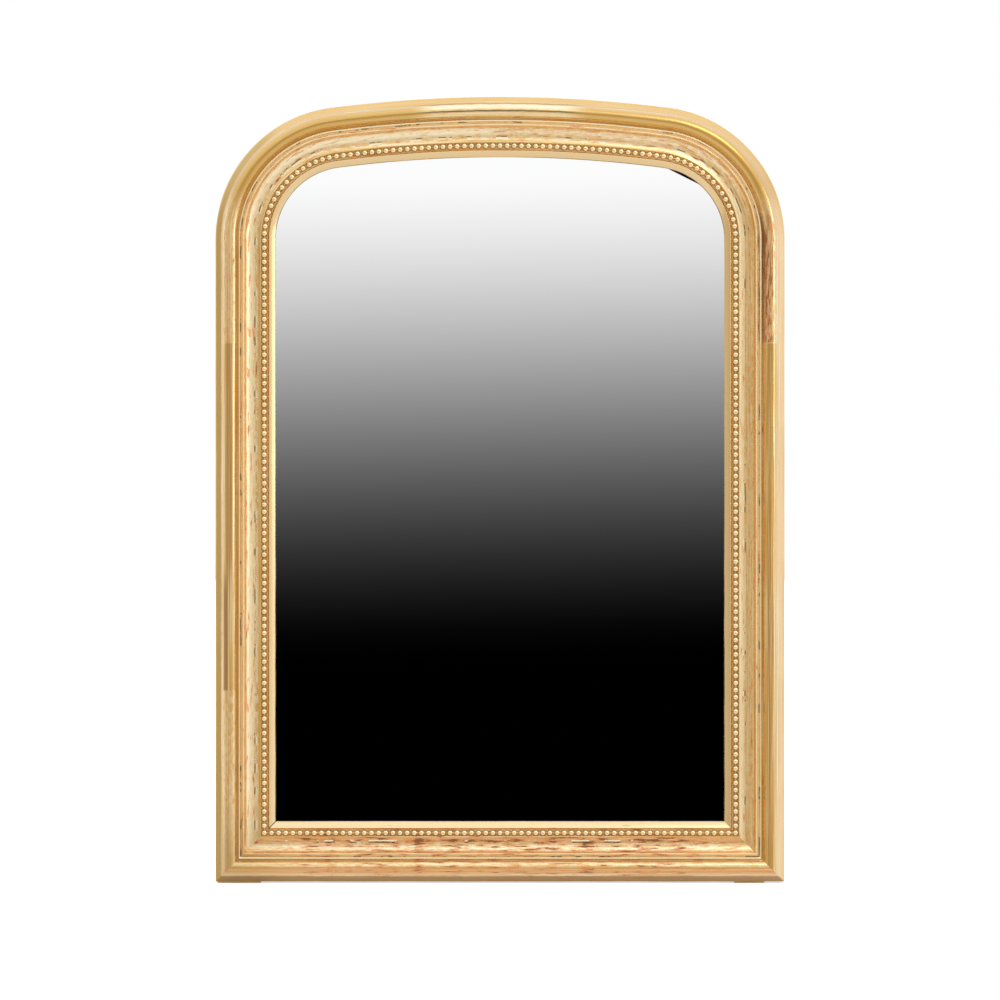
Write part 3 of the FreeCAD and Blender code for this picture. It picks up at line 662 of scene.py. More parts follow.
# %% Tints of the leaf, with painted highlights, shade and reflections
def mark_tints(at):
    at.orange = product(at.bottom, either(at.orange_roll, at.orange_flank))
    mottled_roll = product(at.roll, opposite(at.clean), opposite(product(at.crown, 0.8)), 0.6)
    mottled = either(product(at.hollow, opposite(product(at.right, 0.5))), mottled_roll)
    at.mottled = product(mottled, opposite(at.orange))
    # Painted highlights: flanks turned to the right, and the bright roll and flank of the crown, as if lit
    # from the upper right.
    faces_right = either(product(at.left_half, at.left_flank), product(at.right, at.right_flank))
    crown_light = either(at.bright_roll, product(at.bright_flank, 0.6))
    at.lit = either(product(at.upright, faces_right), product(at.crown_middle, crown_light))
    # Painted light lifts the slope beside the roll and the splay of the lip, which would otherwise lie in
    # shade.
    at.pale = either(product(at.upright, at.pale_slope, 0.35), at.pale_lip)
    # Painted shade on the outer slope at the left and in the lower left corner, away from the light.
    at.olive = either(product(at.left, at.left_slope), product(at.lower_left, at.near_foot, 0.7))
    # A painted dark reflection along the crest of the roll in the middle of the arch.
    at.crest_line = product(at.crown_middle, at.roll_line)
    # A painted shade line in the crease between the outer slope and the roll on the arch.
    at.edge_line = product(at.slope_line, total(product(at.crown, 0.35), product(at.crown_middle, 0.5)))
    at.crown_roll = product(at.crown, at.roll, opposite(at.crown_middle))
    at.top_edge = product(at.crown, at.top_slope)
    at.rosy = product(at.rosy_slope, either(at.right, product(at.crown, 0.5)))


MARKS = (mark_stretches, mark_wear, mark_chips, mark_tints)
print("marks of age:", len(MARKS))

# %% [markdown]
# ## Coats of colour
# The leaf starts plain, and each coat is laid over the last where its mask says, from the broad tints to the
# small dark lines. Some coats are painted light: highlights, dark reflection bands, and shade in grooves,
# under the bottom and towards the left. Where the leaf is worn, dirty or painted dark it is also less
# metallic, duller and keeps little of its thin coat of size, and rubbed places lie a little lower.

# %% Coats of colour on the leaf, and how much each mark dulls it
DULL_SHARES = {"worn_through": 0.7, "rubbed": 0.3, "settled": 0.3, "channel": 0.6, "shoulder_lines": 0.8,
               "splay": 0.55, "dark_stripe": 0.5, "crack": 0.9, "underside": 0.9, "chip": 1.0}


def coats(at, drawn, cream):
    rose = step(patches(at.moulding, (15, 4.5, 0), 8, seed=12), 0.52, 0.58)
    clouds = step(patches(at.place, (70, 70, 70), 3), 0.38, 0.62)
    deep = either(product(clouds, 0.4), product(at.clean, 0.5), product(step(drawn, 0.49, 0.38), 0.8))
    return [
        (deep, DEEP_LEAF),
        (product(step(drawn, 0.49, 0.60), 0.65), PALE_LEAF),
        (product(at.pale, 0.6), PALE_LEAF),
        (product(total(product(cream, 0.65), 0.15), at.mottled), PALE_LEAF),
        (either(product(rose, at.mottled, 0.7), product(at.rosy, 0.5)), ROSE_LEAF),
        (product(at.top_edge, 0.5), DEEP_LEAF),
        # Painted highlight on the flanks turned to the right and on the crown.
        (product(at.lit, 0.6), GILT_EDGE),
        (product(at.crown_roll, 0.8), DEEP_LEAF),
        # Painted shade line in the crease on the arch.
        (product(at.edge_line, 0.9), BROWN_LEAF),
        (product(at.orange, 0.6), BOLE),
        # Painted light on the splay, and a painted highlight along the dark reflection band.
        (either(at.splay, at.stripe_edge), PALE_LEAF),
        # Painted shade at the left and in the lower left corner.
        (product(at.olive, 0.8), OLIVE_LEAF),
        (at.slip, SLIP_LEAF),
        # Painted dark reflection band on the roll.
        (product(at.dark_stripe, 0.85), BROWN_LEAF),
        (product(at.rubbed, 0.7), BOLE),
        (either(product(at.worn_through, 0.85), product(at.shoulder_lines, 0.9)), DARK_BOLE),
        # Dirt in the grooves and the pearl channel, deepened there by painted shade.
        (either(product(at.settled, 0.35), at.channel), GRIME),
        # Painted shade on the slope that faces down along the bottom.
        (product(at.underside, 0.5), GRIME),
        # Painted highlights on the fillet and on short bright dashes along the inner flank.
        (either(at.bright_lip, at.ridge), GILT_EDGE),
        # Dark dashes where the leaf has cracked, and a painted dark reflection along the crest of the roll.
        (either(product(at.crack, 0.85), product(at.crest_line, 0.75)), OLIVE),
        (at.chip, GESSO),
    ]


print("marks that dull the leaf:", len(DULL_SHARES))


# %% Gilding
def gilding():
    material, tree = new_material("Water_gilding_over_red_bole")
    at = zones_and_places(tree)
    for mark in MARKS:
        mark(at)
    drawn = patches(at.moulding, (160, 1.5, 0))
    cream = step(patches(at.moulding, (10, 4, 0), 9, seed=1), 0.47, 0.53)
    colour = LEAF
    for mask, coat_colour in coats(at, drawn, cream):
        colour = laid_over(colour, mask, coat_colour)
    dull = either(*[product(getattr(at, name), share) for name, share in DULL_SHARES.items()])
    coat = add_node(tree, "MapRange", {0: dull, 3: 0.5, 4: 0.1}).outputs[0]
    metallic = add_node(tree, "MapRange", {0: dull, 3: 0.95, 4: 0.2}).outputs[0]
    haze = total(dull, product(at.fine, 0.3), product(at.mottled, 0.35))
    roughness = add_node(tree, "MapRange", {0: haze, 1: 0.1, 2: 1.2, 3: 0.2, 4: 0.6}).outputs[0]
    relief = total(product(at.fine, 0.6), product(drawn, 0.6), product(at.crack, -1.5),
                   product(at.rubbed, -0.4), product(cream, at.mottled, 0.3))
    bump = add_node(tree, "Bump", {"Height": relief, "Strength": 0.35, "Distance": 0.15 * MM})
    finish_material(tree, Base_Color=colour, Metallic=metallic, Roughness=roughness, Normal=bump.outputs[0],
                    Coat_Weight=coat, Coat_Roughness=0.2)
    return material


gilded = gilding()
print("nodes in the gilding:", len(gilded.node_tree.nodes))

# %% [markdown]
# ## The three gilt mouldings
# From the outer edge inwards come a slope in two parts, the main roll, a groove and a fillet. The inner
# moulding has a raised lip, a deep hollow and the channel of the pearls. The slip is a thin bevelled moulding
# whose nose lies on the glass. Each has a left, right and bottom length with mitred corners, and an arch
# whose joints lie under the gesso.

# %% Sections of the mouldings in millimetres, as (inset, height) or (inset, height, radius, bulges forwards)
SECTIONS = {
    "outer_moulding": [(0, 22), (0, 26.8), (6.6, 32.4), (11.9, 39.6, 9.4, True), (30.1, 36.2), (30.1, 35),
                       (31.6, 35), (31.9, 35.4, 1.9, True), (35.2, 35.4), (35.2, 22)],
    "inner_moulding": [(35.2, 22), (35.2, 35.6), (39.4, 40.5), (40.1, 40.5, 15.4, False), (63.1, 31.7),
                       (64.3, 31.7), (64.3, 29.9), (74, 29.9), (74, 22)],
    "slip": [(74, 22), (74, 31.2), (75.4, 33), (83, 27.2), (84, 26.2), (84, 22)],
}
EDGE_ROUND = 0.35
OPENINGS = {"outer_moulding": 0, "inner_moulding": 0, "slip": 0.8 * MM}
SEED_STEP = 20

for number, (name, section) in enumerate(SECTIONS.items()):
    for member, (start, legs) in RUNS.items():
        shape = draw_section(section, EDGE_ROUND)
        mark_section(shape)
        sweep(shape, start, legs)
        cut_mitres(shape, member, OPENINGS[name])
        scrape(shape, member, number * SEED_STEP)
        close_ends(shape)
        finish_piece(shape, f"gilt_{name}_{member}", [f"{name}_{member}"], gilded)

# %% [markdown]
# ## The string of pearls
# Moulded composition was pressed in long strips: a pearl, a short neck, a pearl. A half ball with few faces
# is enough, because there are hundreds. They stand at an even pitch, so their number follows from the
# length of the path and the pitch.

# %% Places of the pearls
PEARL_PITCH = 10 * MM
PEARL_RADIUS = 4.45 * MM
PEARL_INSET = 68.4 * MM
CHANNEL_FLOOR = back_plane - 29.9 * MM


def on_arc(across, up, radius, angle):
    return Vector((across + radius * math.cos(angle), CHANNEL_FLOOR, up + radius * math.sin(angle)))


# The path up, over and down, as (member, length, function that gives the place at a distance).
def pearl_path():
    side = half_width - PEARL_INSET
    low = foot_top + PEARL_INSET
    small = corner_radius - PEARL_INSET
    large = arch_radius - PEARL_INSET
    first = math.pi / 2 + arch_angle
    corner = small * corner_sweep
    return [
        ("left", spring - low, lambda way: Vector((-side, CHANNEL_FLOOR, low + way))),
        ("arch", corner, lambda way: on_arc(-corner_centre, spring, small, math.pi - way / small)),
        ("arch", large * 2 * arch_angle, lambda way: on_arc(0, arch_centre, large, first - way / large)),
        ("arch", corner, lambda way: on_arc(corner_centre, spring, small, corner_sweep - way / small)),
        ("right", spring - low, lambda way: Vector((side, CHANNEL_FLOOR, spring - way))),
    ]


def pearl_places():
    path = pearl_path()
    whole = sum(length for member, length, place in path)
    count = round(whole / PEARL_PITCH)
    places = {member: [] for member in RUNS}
    for number in range(1, count):
        way = whole * number / count
        for member, length, place in path:
            if way <= length:
                places[member].append(place(way))
                break
            way -= length
    side = half_width - PEARL_INSET
    count = round(2 * side / PEARL_PITCH)
    for number in range(count + 1):
        across = -side + 2 * side * number / count
        places["bottom"].append(Vector((across, CHANNEL_FLOOR, foot_top + PEARL_INSET)))
    return places


PEARLS = pearl_places()
print("pearls:", {member: len(places) for member, places in PEARLS.items()})

# %% [markdown]
# ## Gilt composition
# Composition is a hard dough of chalk, resin and glue, gilded like the mouldings. Its pearls are rubbed
# pale on top, and their feet are dark brown with dirt and with painted shade where they meet the channel and
# each other. The height above the channel floor tells the shader which is which, so the vertices store it as
# wear.

# %% Gilding on the pearls
def gilt_composition():
    material, tree = new_material("Gilt_composition")
    height = add_node(tree, "Attribute", attribute_name="wear").outputs["Fac"]
    place = add_node(tree, "TexCoord").outputs["Object"]
    fine = patches(place, (1.6, 1.6, 1.6))
    cloud = patches(place, (18, 18, 18), 3)
    uneven = total(height, product(total(fine, -0.5), 0.4))
    # Dark brown round the feet: dirt, and painted shade where the pearls meet the channel and each other.
    foot = step(uneven, 0.24, 0.02)
    colour = laid_over(LEAF, step(cloud, 0.4, 0.62), DEEP_LEAF)
    colour = laid_over(colour, product(step(uneven, 0.35, 0.75), 0.75), PALE_LEAF)
    colour = laid_over(colour, product(foot, 0.9), PEARL_DIRT)
    metallic = add_node(tree, "MapRange", {0: foot, 3: 0.9, 4: 0.3}).outputs[0]
    haze = total(foot, product(fine, 0.3))
    roughness = add_node(tree, "MapRange", {0: haze, 1: 0.0, 2: 1.3, 3: 0.18, 4: 0.6}).outputs[0]
    bump = add_node(tree, "Bump", {"Height": fine, "Strength": 0.3, "Distance": 0.1 * MM})
    finish_material(tree, Base_Color=colour, Metallic=metallic, Roughness=roughness, Normal=bump.outputs[0],
                    Coat_Weight=0.6, Coat_Roughness=0.12)
    return material


gilt_pearl = gilt_composition()
print("nodes in the gilt composition:", len(gilt_pearl.node_tree.nodes))

# %% [markdown]
# ## Pearls and their necks
# Each pearl is a ball, and one cut on the channel floor halves them all. The neck that joins them is a low
# round strip, swept along the frame like a moulding.

# %% Pearls and their necks
PEARL_SEGMENTS = 12
PEARL_RINGS = 8
NECK = [(67.1, 29.7), (67.1, 30.2, 1.3, True), (69.7, 30.2), (69.7, 29.7)]
NECK_ROUND = 0.1
POLE_FORWARDS = Matrix.Rotation(math.pi / 2, 4, "X")

for member, (start, legs) in RUNS.items():
    balls = bmesh.new()
    for place in PEARLS[member]:
        bmesh.ops.create_uvsphere(balls, u_segments=PEARL_SEGMENTS, v_segments=PEARL_RINGS,
                                  radius=PEARL_RADIUS, matrix=Matrix.Translation(place) @ POLE_FORWARDS)
    cut(balls, Vector((0, CHANNEL_FLOOR, 0)), Vector((0, 1, 0)))
    neck = draw_section(NECK, NECK_ROUND)
    sweep(neck, start, legs)
    cut_mitres(neck, member)
    close_ends(balls)
    close_ends(neck)
    string = joined([balls, neck])
    wear_layer = string.verts.layers.float.new("wear")
    for vert in string.verts:
        vert[wear_layer] = (CHANNEL_FLOOR - vert.co.y) / PEARL_RADIUS
    finish_piece(string, f"gilt_pearls_{member}", [f"pearls_{member}"], gilt_pearl)

# %% [markdown]
# ## Pine
# The carcass and the back boards are softwood. Sawn pine shows long grain lines a few millimetres apart and
# fine fibres. The grain runs along each member, so the pattern is turned with a Mapping node and then drawn
# out. The sides that show were washed with ochre, so that the gilding could end at the edge unseen.

# %% Pine, bare or with an ochre wash
FIBRE_BROWN = "#4A3220"
STAIN_BROWN = "#3E2C1C"
OCHRE = "#B98A3E"
DARK_OCHRE = "#9A6C2C"
RINGS_PER_PATCH = 7.0
WASH_FROM = (back_plane - 0.4 * MM, back_plane - 1.6 * MM)


def pine(name, degrees, light, dark, washed=False):
    material, tree = new_material(name)
    place = add_node(tree, "TexCoord").outputs["Object"]
    turn = {"Vector": place, "Rotation": (0, math.radians(degrees), 0)}
    turned = add_node(tree, "Mapping", turn).outputs[0]
    growth = product(patches(turned, (9, 9, 260), 2, distortion=0.6), RINGS_PER_PATCH)
    rings = add_node(tree, "Math", {0: growth}, operation="FRACT").outputs[0]
    fibres = patches(turned, (0.9, 0.9, 28))
    stains = patches(place, (90, 90, 90), 5)
    colour = laid_over(light, product(rings, 0.7), dark)
    colour = laid_over(colour, product(step(fibres, 0.5, 0.75), 0.45), FIBRE_BROWN)
    colour = laid_over(colour, product(step(stains, 0.5, 0.75), 0.3), STAIN_BROWN)
    if washed:
        depth = add_node(tree, "SeparateXYZ", {0: place}).outputs[1]
        ochre = laid_over(OCHRE, step(stains, 0.35, 0.6), DARK_OCHRE)
        colour = laid_over(colour, product(step(depth, *WASH_FROM), 0.85), ochre)
    relief = total(product(rings, 0.4), fibres)
    bump = add_node(tree, "Bump", {"Height": relief, "Strength": 0.5, "Distance": 0.25 * MM})
    roughness = add_node(tree, "MapRange", {0: fibres, 3: 0.62, 4: 0.85}).outputs[0]
    finish_material(tree, Base_Color=colour, Roughness=roughness, Normal=bump.outputs[0])
    return material


upright_pine = pine("Pine_with_ochre_wash_upright", 0, "#B28B5C", "#8A6238", washed=True)
level_pine = pine("Pine_with_ochre_wash_level", 90, "#AE8658", "#875F37", washed=True)
slanting_pine = {-1: pine("Pine_with_ochre_wash_left_slant", 45, "#B28B5C", "#80592F", washed=True),
                 1: pine("Pine_with_ochre_wash_right_slant", -45, "#AA8455", "#80592F", washed=True)}
board_pine = pine("Bare_pine_board", 90, "#9C7448", "#6E4B2B")
block_pine = pine("Bare_pine_block", 0, "#A87F52", "#7A5633")
foot_pine = pine("Pine_with_pale_gold_wash", 90, "#EBCF98", "#CFA868")
print("finishes so far:", len(bpy.data.materials))

# %% [markdown]
# ## The carcass
# Six pine members are half-lapped: each has a back layer and a front layer that end in different places. The
# back layer also has the rebate for the boards. Sweeping both layers gives the joints their true lines on the
# back and the sides.

# %% Layers of the carcass
FRONT_LAYER = [(0, 11), (0, 22), (74, 22), (74, 11)]
BACK_LAYER = [(0, 0), (0, 11), (74, 11), (74, 8), (62, 8), (62, 0)]
BACK_END = [(0, 0), (0, 11), (74, 11), (74, 0)]
LAP = 60 * MM
CARCASS_WIDTH = 74 * MM
REBATE_INSET = 62 * MM
WOOD_ROUND = 0.8
lap_angle = LAP / arch_radius


def layer(section, start, legs):
    shape = draw_section(section, WOOD_ROUND)
    sweep(shape, start, legs)
    close_ends(shape)
    return shape


def turned_about(centre, angle):
    return Matrix.Translation(centre) @ Matrix.Rotation(angle, 4, "Y") @ Matrix.Translation(-centre)


def carcass_piece(name, layers, material):
    finish_piece(joined(layers), f"pine_{name}", [f"carcass_{name}"], material)


print("lap on the arch in degrees:", round(math.degrees(lap_angle), 2))

# %% [markdown]
# ## Stiles, corners and rails
# The back layer of a stile runs from the spring down to the bottom rail. Its front layer starts a lap lower
# and runs on over the rail. The corner fills that lap in front and reaches over the arch in front too, and the
# top rail fits between. The bottom rail runs the whole width at the back, without the rebate at its ends, and
# its front layer fits between the stiles.

# %% Carcass members
LAP_DOWN = Matrix.Translation(-UP * LAP)

for side, name, start, corner in ((-1, "left", AT_LEFT, LEFT_CORNER), (1, "right", AT_RIGHT, RIGHT_CORNER)):
    stile = [layer(BACK_LAYER, start, [straight(-UP * (side_length - CARCASS_WIDTH))]),
             layer(FRONT_LAYER, LAP_DOWN @ start, [straight(-UP * (side_length - LAP))])]
    carcass_piece(f"stile_{name}", stile, upright_pine)
    round_corner = bend(corner, -side * corner_sweep)
    crown_end = turned_about(corner, -side * corner_sweep) @ start
    block = [layer(BACK_LAYER, start, [round_corner]),
             layer(FRONT_LAYER, LAP_DOWN @ start, [straight(UP * LAP), round_corner]),
             layer(FRONT_LAYER, crown_end, [bend(ARCH_MIDDLE, -side * lap_angle)])]
    carcass_piece(f"corner_{name}", block, slanting_pine[side])

crown_start = turned_about(LEFT_CORNER, corner_sweep) @ AT_LEFT
front_start = turned_about(ARCH_MIDDLE, lap_angle) @ crown_start
carcass_piece("rail_top", [
    layer(BACK_LAYER, crown_start, [bend(ARCH_MIDDLE, 2 * arch_angle)]),
    layer(FRONT_LAYER, front_start, [bend(ARCH_MIDDLE, 2 * (arch_angle - lap_angle))])], level_pine)


def bottom_layer(section, begin, end):
    start = Matrix.Translation(RIGHT * begin) @ AT_BOTTOM
    return layer(section, start, [straight(RIGHT * (end - begin))])


width = 2 * half_width
carcass_piece("rail_bottom", [
    bottom_layer(BACK_END, 0, REBATE_INSET),
    bottom_layer(BACK_LAYER, REBATE_INSET, width - REBATE_INSET),
    bottom_layer(BACK_END, width - REBATE_INSET, width),
    bottom_layer(FRONT_LAYER, CARCASS_WIDTH, width - CARCASS_WIDTH)], level_pine)

# %% [markdown]
# ## The scale of the photograph
# The photograph looks straight at the mirror. One pixel is 1.4 mm in the plane of the frame, which gives the
# place of each mark that is seen in the picture.

# %% Where the photograph shows a pixel, in the plane of the glass
METRES_PER_PIXEL = 1.4 * MM
PHOTO_PIXELS = 1000
VIEW_HEIGHT = 0.536


def at_pixel(across, down):
    middle = PHOTO_PIXELS / 2
    return Vector(((across - middle) * METRES_PER_PIXEL, 0, VIEW_HEIGHT + (middle - down) * METRES_PER_PIXEL))


print("upper left of the photograph in m:", [round(value, 3) for value in at_pixel(0, 0)])

# %% [markdown]
# ## Old mirror glass
# A mirror is a metal film behind polished glass. The film decides the picture, so the glass is fully
# metallic and smooth, and only slightly less than white. Along two edges of the upper right corner the glass
# is painted black. The drawn piece keeps its shape.

# %% Silvered glass
PERISHED_EDGES = [(at_pixel(712, 191), at_pixel(675, 172.5)), (at_pixel(720.5, 214), at_pixel(711, 191))]
CORNER_ACROSS = (0.23, 0.24)
CORNER_UP = (0.92, 0.93)
EDGE_OF_FILM = 0.4 * MM


def silvered_glass():
    material, tree = new_material("Silvered_plate_glass")
    place = add_node(tree, "TexCoord").outputs["Object"]
    beyond = []
    for start, end in PERISHED_EDGES:
        along = (end - start).normalized()
        outwards = Vector((along.z, 0, -along.x))
        reach = add_node(tree, "VectorMath", {0: place, 1: outwards}, operation="DOT_PRODUCT")
        beyond.append(step(total(reach.outputs["Value"], -start.dot(outwards)), 0.0, EDGE_OF_FILM))
    position = add_node(tree, "SeparateXYZ", {0: place}).outputs
    perished = product(either(*beyond), step(position[0], *CORNER_ACROSS), step(position[2], *CORNER_UP))
    colour = laid_over("#FBFCFB", perished, "#060504")
    finish_material(tree, Base_Color=colour, Metallic=1.0, Roughness=0.0)
    return material


mirror = silvered_glass()
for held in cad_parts["mirror_glass"].material_slots:
    held.material = mirror
print("the glass is", mirror.name)

# %% [markdown]
# ## Brass and iron
# The hanging plates and rings are old brass: a metal, brown-green in its pores and bright where hands
# rubbed it. The nails and screws are iron with a dull skin of rust.

# %% Metals
def aged_metal(name, bright, dark, metallic, bright_rough, dark_rough):
    material, tree = new_material(name)
    place = add_node(tree, "TexCoord").outputs["Object"]
    tarnish = step(patches(place, (5, 5, 5), 6), 0.35, 0.75)
    colour = laid_over(bright, tarnish, dark)
    roughness = add_node(tree, "MapRange", {0: tarnish, 3: bright_rough, 4: dark_rough}).outputs[0]
    pores = patches(place, (0.8, 0.8, 0.8))
    bump = add_node(tree, "Bump", {"Height": pores, "Strength": 0.4, "Distance": 0.1 * MM})
    finish_material(tree, Base_Color=colour, Metallic=metallic, Roughness=roughness, Normal=bump.outputs[0])
    return material


brass = aged_metal("Aged_brass", "#B8965A", "#6E5A34", 1.0, 0.28, 0.55)
iron = aged_metal("Rusted_iron", "#4C4034", "#5A3318", 0.6, 0.5, 0.8)
print("metals:", brass.name, iron.name)

# %% [markdown]
# ## Boards, blocks and feet
# The back is closed by four boards, hand-planed with a round iron that leaves shallow tracks. Small blocks
# hold the glass, and two thin slips under the bottom edge lift the frame off its shelf. Each is drawn as an
# outline, given its thickness, and its edges are eased as a plane would ease them.

# %% Plates of wood
PLATE_ARC_STEP = 8 * MM


def plate(outline, near, far, edge_round):
    shape = draw_section(outline, edge_round, PLATE_ARC_STEP)
    stand = Matrix.Translation((0, near, 0)) @ Matrix.Rotation(-math.pi / 2, 4, "X")
    bmesh.ops.transform(shape, matrix=stand, verts=shape.verts)
    face = bmesh.ops.contextual_create(shape, geom=shape.edges[:])["faces"]
    made = bmesh.ops.extrude_face_region(shape, geom=face)["geom"]
    moved = [part for part in made if isinstance(part, bmesh.types.BMVert)]
    bmesh.ops.translate(shape, vec=(0, far - near, 0), verts=moved)
    rims = [edge for edge in shape.edges if abs(edge.verts[0].co.y - edge.verts[1].co.y) < TOUCHING]
    bmesh.ops.bevel(shape, geom=rims, offset=edge_round * MM, affect="EDGES", segments=2, profile=0.5,
                    material=-1)
    return shape


def rectangle(low, high):
    left, right, foot, head = (value / MM for value in (low.x, high.x, low.z, high.z))
    return [(left, foot), (left, head), (right, head), (right, foot)]


def top_board_outline(low, high):
    inset = half_width - high.x
    small, large = corner_radius - inset, arch_radius - inset
    shoulder_x = (corner_centre + small * math.sin(arch_angle)) / MM
    shoulder_z = (spring + small * math.cos(arch_angle)) / MM
    left, right, foot, level = (value / MM for value in (low.x, high.x, low.z, spring))
    return [(left, foot), (left, level, small / MM, True), (-shoulder_x, shoulder_z, large / MM, True),
            (shoulder_x, shoulder_z, small / MM, True), (right, level), (right, foot)]


print("arcs on a plate have steps in mm:", PLATE_ARC_STEP / MM)

# %% [markdown]
# ## Planed boards and feet
# The tracks run along a board. Its back surface dips between the lines where two passes of the plane meet,
# so the board is first cut into strips and the vertices of its back are then let down. The feet stop a
# little behind the edge of the moulding above.

# %% Boards and feet
TRACK_WIDTH = 31 * MM
TRACK_DEPTH = 0.4 * MM
CUTS_PER_TRACK = 5
DRIFTS_PER_METRE = (3, 9)
DRIFT_SHARE = 0.5
SEED_OF_TRACKS = 5
BACK_FACE = 0.05 * MM
BOARD_ROUND = 0.9
FOOT_ROUND = 0.4
FOOT_DEPTH = 26.5 * MM


def plane_tracks(shape, low, high):
    cuts = round((high.z - low.z) / (TRACK_WIDTH / CUTS_PER_TRACK))
    for number in range(1, cuts):
        level = low.z + (high.z - low.z) * number / cuts
        bmesh.ops.bisect_plane(shape, geom=shape.verts[:] + shape.edges[:] + shape.faces[:], dist=SAME_PLACE,
                               plane_co=(0, 0, level), plane_no=UP)
    for vert in shape.verts:
        if vert.co.y > high.y - BACK_FACE:
            drift = unevenness(vert.co.x, vert.co.z, DRIFTS_PER_METRE, SEED_OF_TRACKS) * DRIFT_SHARE
            vert.co.y -= TRACK_DEPTH * math.sin(math.pi * (vert.co.z / TRACK_WIDTH + drift)) ** 2


for name in ("back_board_1", "back_board_2", "back_board_3", "back_board_top"):
    low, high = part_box(name)
    outline = top_board_outline(low, high) if name == "back_board_top" else rectangle(low, high)
    shape = plate(outline, low.y, high.y, BOARD_ROUND)
    plane_tracks(shape, low, high)
    finish_piece(shape, f"pine_{name}", [name], board_pine)

for name in ("foot_left", "foot_right"):
    low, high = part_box(name)
    shape = plate(rectangle(low, high), back_plane - FOOT_DEPTH, high.y, FOOT_ROUND)
    finish_piece(shape, f"pine_{name}", [name], foot_pine)

# %% [markdown]
# ## Blocks behind the glass
# The blocks are short and are glued in the angle between the glass and the frame, three to a side, two below
# and one above. The drawn piece holds all nine, so each loose island of it gives the box of one block. The
# search meets the islands in no fixed order, so their boxes are sorted, and every run gives the same result.

# %% Islands of a drawn piece, and the blocks
def islands(node):
    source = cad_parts[node]
    shape = bmesh.new()
    shape.from_mesh(source.data)
    bmesh.ops.transform(shape, matrix=source.matrix_world, verts=shape.verts)
    bmesh.ops.remove_doubles(shape, verts=shape.verts, dist=TOUCHING)
    waiting, boxes = set(shape.verts), []
    while waiting:
        ahead, island = [waiting.pop()], []
        while ahead:
            vert = ahead.pop()
            island.append(vert.co.copy())
            reached = {edge.other_vert(vert) for edge in vert.link_edges} & waiting
            waiting -= reached
            ahead += reached
        boxes.append([Vector([pick(co[axis] for co in island) for axis in range(3)]) for pick in (min, max)])
    shape.free()
    return sorted(boxes, key=lambda box: box[0].x + box[0].z)


block_boxes = islands("glass_wedge_blocks")
blocks = [plate(rectangle(low, high), low.y, high.y, WOOD_ROUND) for low, high in block_boxes]
print("blocks:", len(blocks))
finish_piece(joined(blocks), "pine_blocks", ["glass_wedge_blocks"], block_pine)

# %% [markdown]
# ## Slotted screws
# A screw of the time has a domed head with a filed slot. Shank and dome are turned on a lathe, which a full
# spin does here. The slot is the gap between two half domes over a thin disc.

# %% Turned shapes and screws, as (radius, height) in millimetres
DOME = [(0, 0), (2.9, 0), (2.9, 0.4), (2.6, 0.85), (1.9, 1.2), (1.0, 1.36), (0, 1.4)]
SHANK = [(0, -14), (1.5, -10.5), (1.5, 0.2), (2.75, 0.3), (2.75, 0.6), (0, 0.6)]
HEAD_HEIGHT = DOME[-1][1] * MM
HALF_SLOT = 0.45 * MM
TURNED_STEPS = 24
FIRST_TURN, TURN_STEP = 0.4, 1.3
FACING_BACK = Matrix.Rotation(-math.pi / 2, 4, "X")


def lathe(profile):
    shape = bmesh.new()
    points = [shape.verts.new((radius * MM, 0, height * MM)) for radius, height in profile]
    lines = [shape.edges.new(pair) for pair in zip(points, points[1:])]
    bmesh.ops.spin(shape, geom=points + lines, cent=(0, 0, 0), axis=(0, 0, 1), angle=2 * math.pi,
                   steps=TURNED_STEPS, use_merge=True)
    bmesh.ops.remove_doubles(shape, verts=shape.verts, dist=SAME_PLACE)
    return shape


def screw(head_back, turned):
    parts = [lathe(SHANK)]
    for side in (-1, 1):
        half = lathe(DOME)
        cut(half, RIGHT * side * HALF_SLOT, -RIGHT * side)
        close_ends(half)
        parts.append(half)
    whole = joined(parts)
    place = Matrix.Translation(head_back) @ FACING_BACK @ Matrix.Rotation(turned, 4, "Z")
    bmesh.ops.transform(whole, matrix=place, verts=whole.verts)
    return whole


screws = []
for number, (low, high) in enumerate(islands("hanger_screws")):
    middle = (low + high) / 2
    middle.y = high.y - HEAD_HEIGHT
    screws.append(screw(middle, FIRST_TURN + TURN_STEP * number))
finish_piece(joined(screws), "iron_screws", ["hanger_screws"], iron)

# %% [markdown]
# ## Cut nails
# A cut nail is sheared from iron plate: its shank tapers and its square head is a low pyramid. A cone with
# four sides makes both.

# %% Nails, as cones of (lower radius, upper radius, middle, length) in millimetres
NAIL_CONES = [(0.5, 1.3, -8.5, 17), (3.45, 1.3, 0.6, 1.2)]
NAIL_EDGE_DEGREES = 20
SQUARE_ON = Matrix.Rotation(math.pi / 4, 4, "Z")


def nail(place):
    whole = bmesh.new()
    for lower, upper, middle, length in NAIL_CONES:
        bmesh.ops.create_cone(whole, cap_ends=True, segments=4, radius1=lower * MM, radius2=upper * MM,
                              depth=length * MM, matrix=Matrix.Translation(UP * middle * MM) @ SQUARE_ON)
    bmesh.ops.transform(whole, matrix=Matrix.Translation(place) @ FACING_BACK, verts=whole.verts)
    return whole


nails = []
for low, high in islands("back_board_nails"):
    middle = (low + high) / 2
    middle.y = back_plane
    nails.append(nail(middle))
finish_piece(joined(nails), "iron_nails", ["back_board_nails"], iron, sharp_degrees=NAIL_EDGE_DEGREES)

# %% [markdown]
# ## Plates for hanging
# A strip of brass is rolled round a pin, which makes a knuckle, and is screwed to the back of a stile. Its
# section is seen from the side, so the strip is swept across its width.

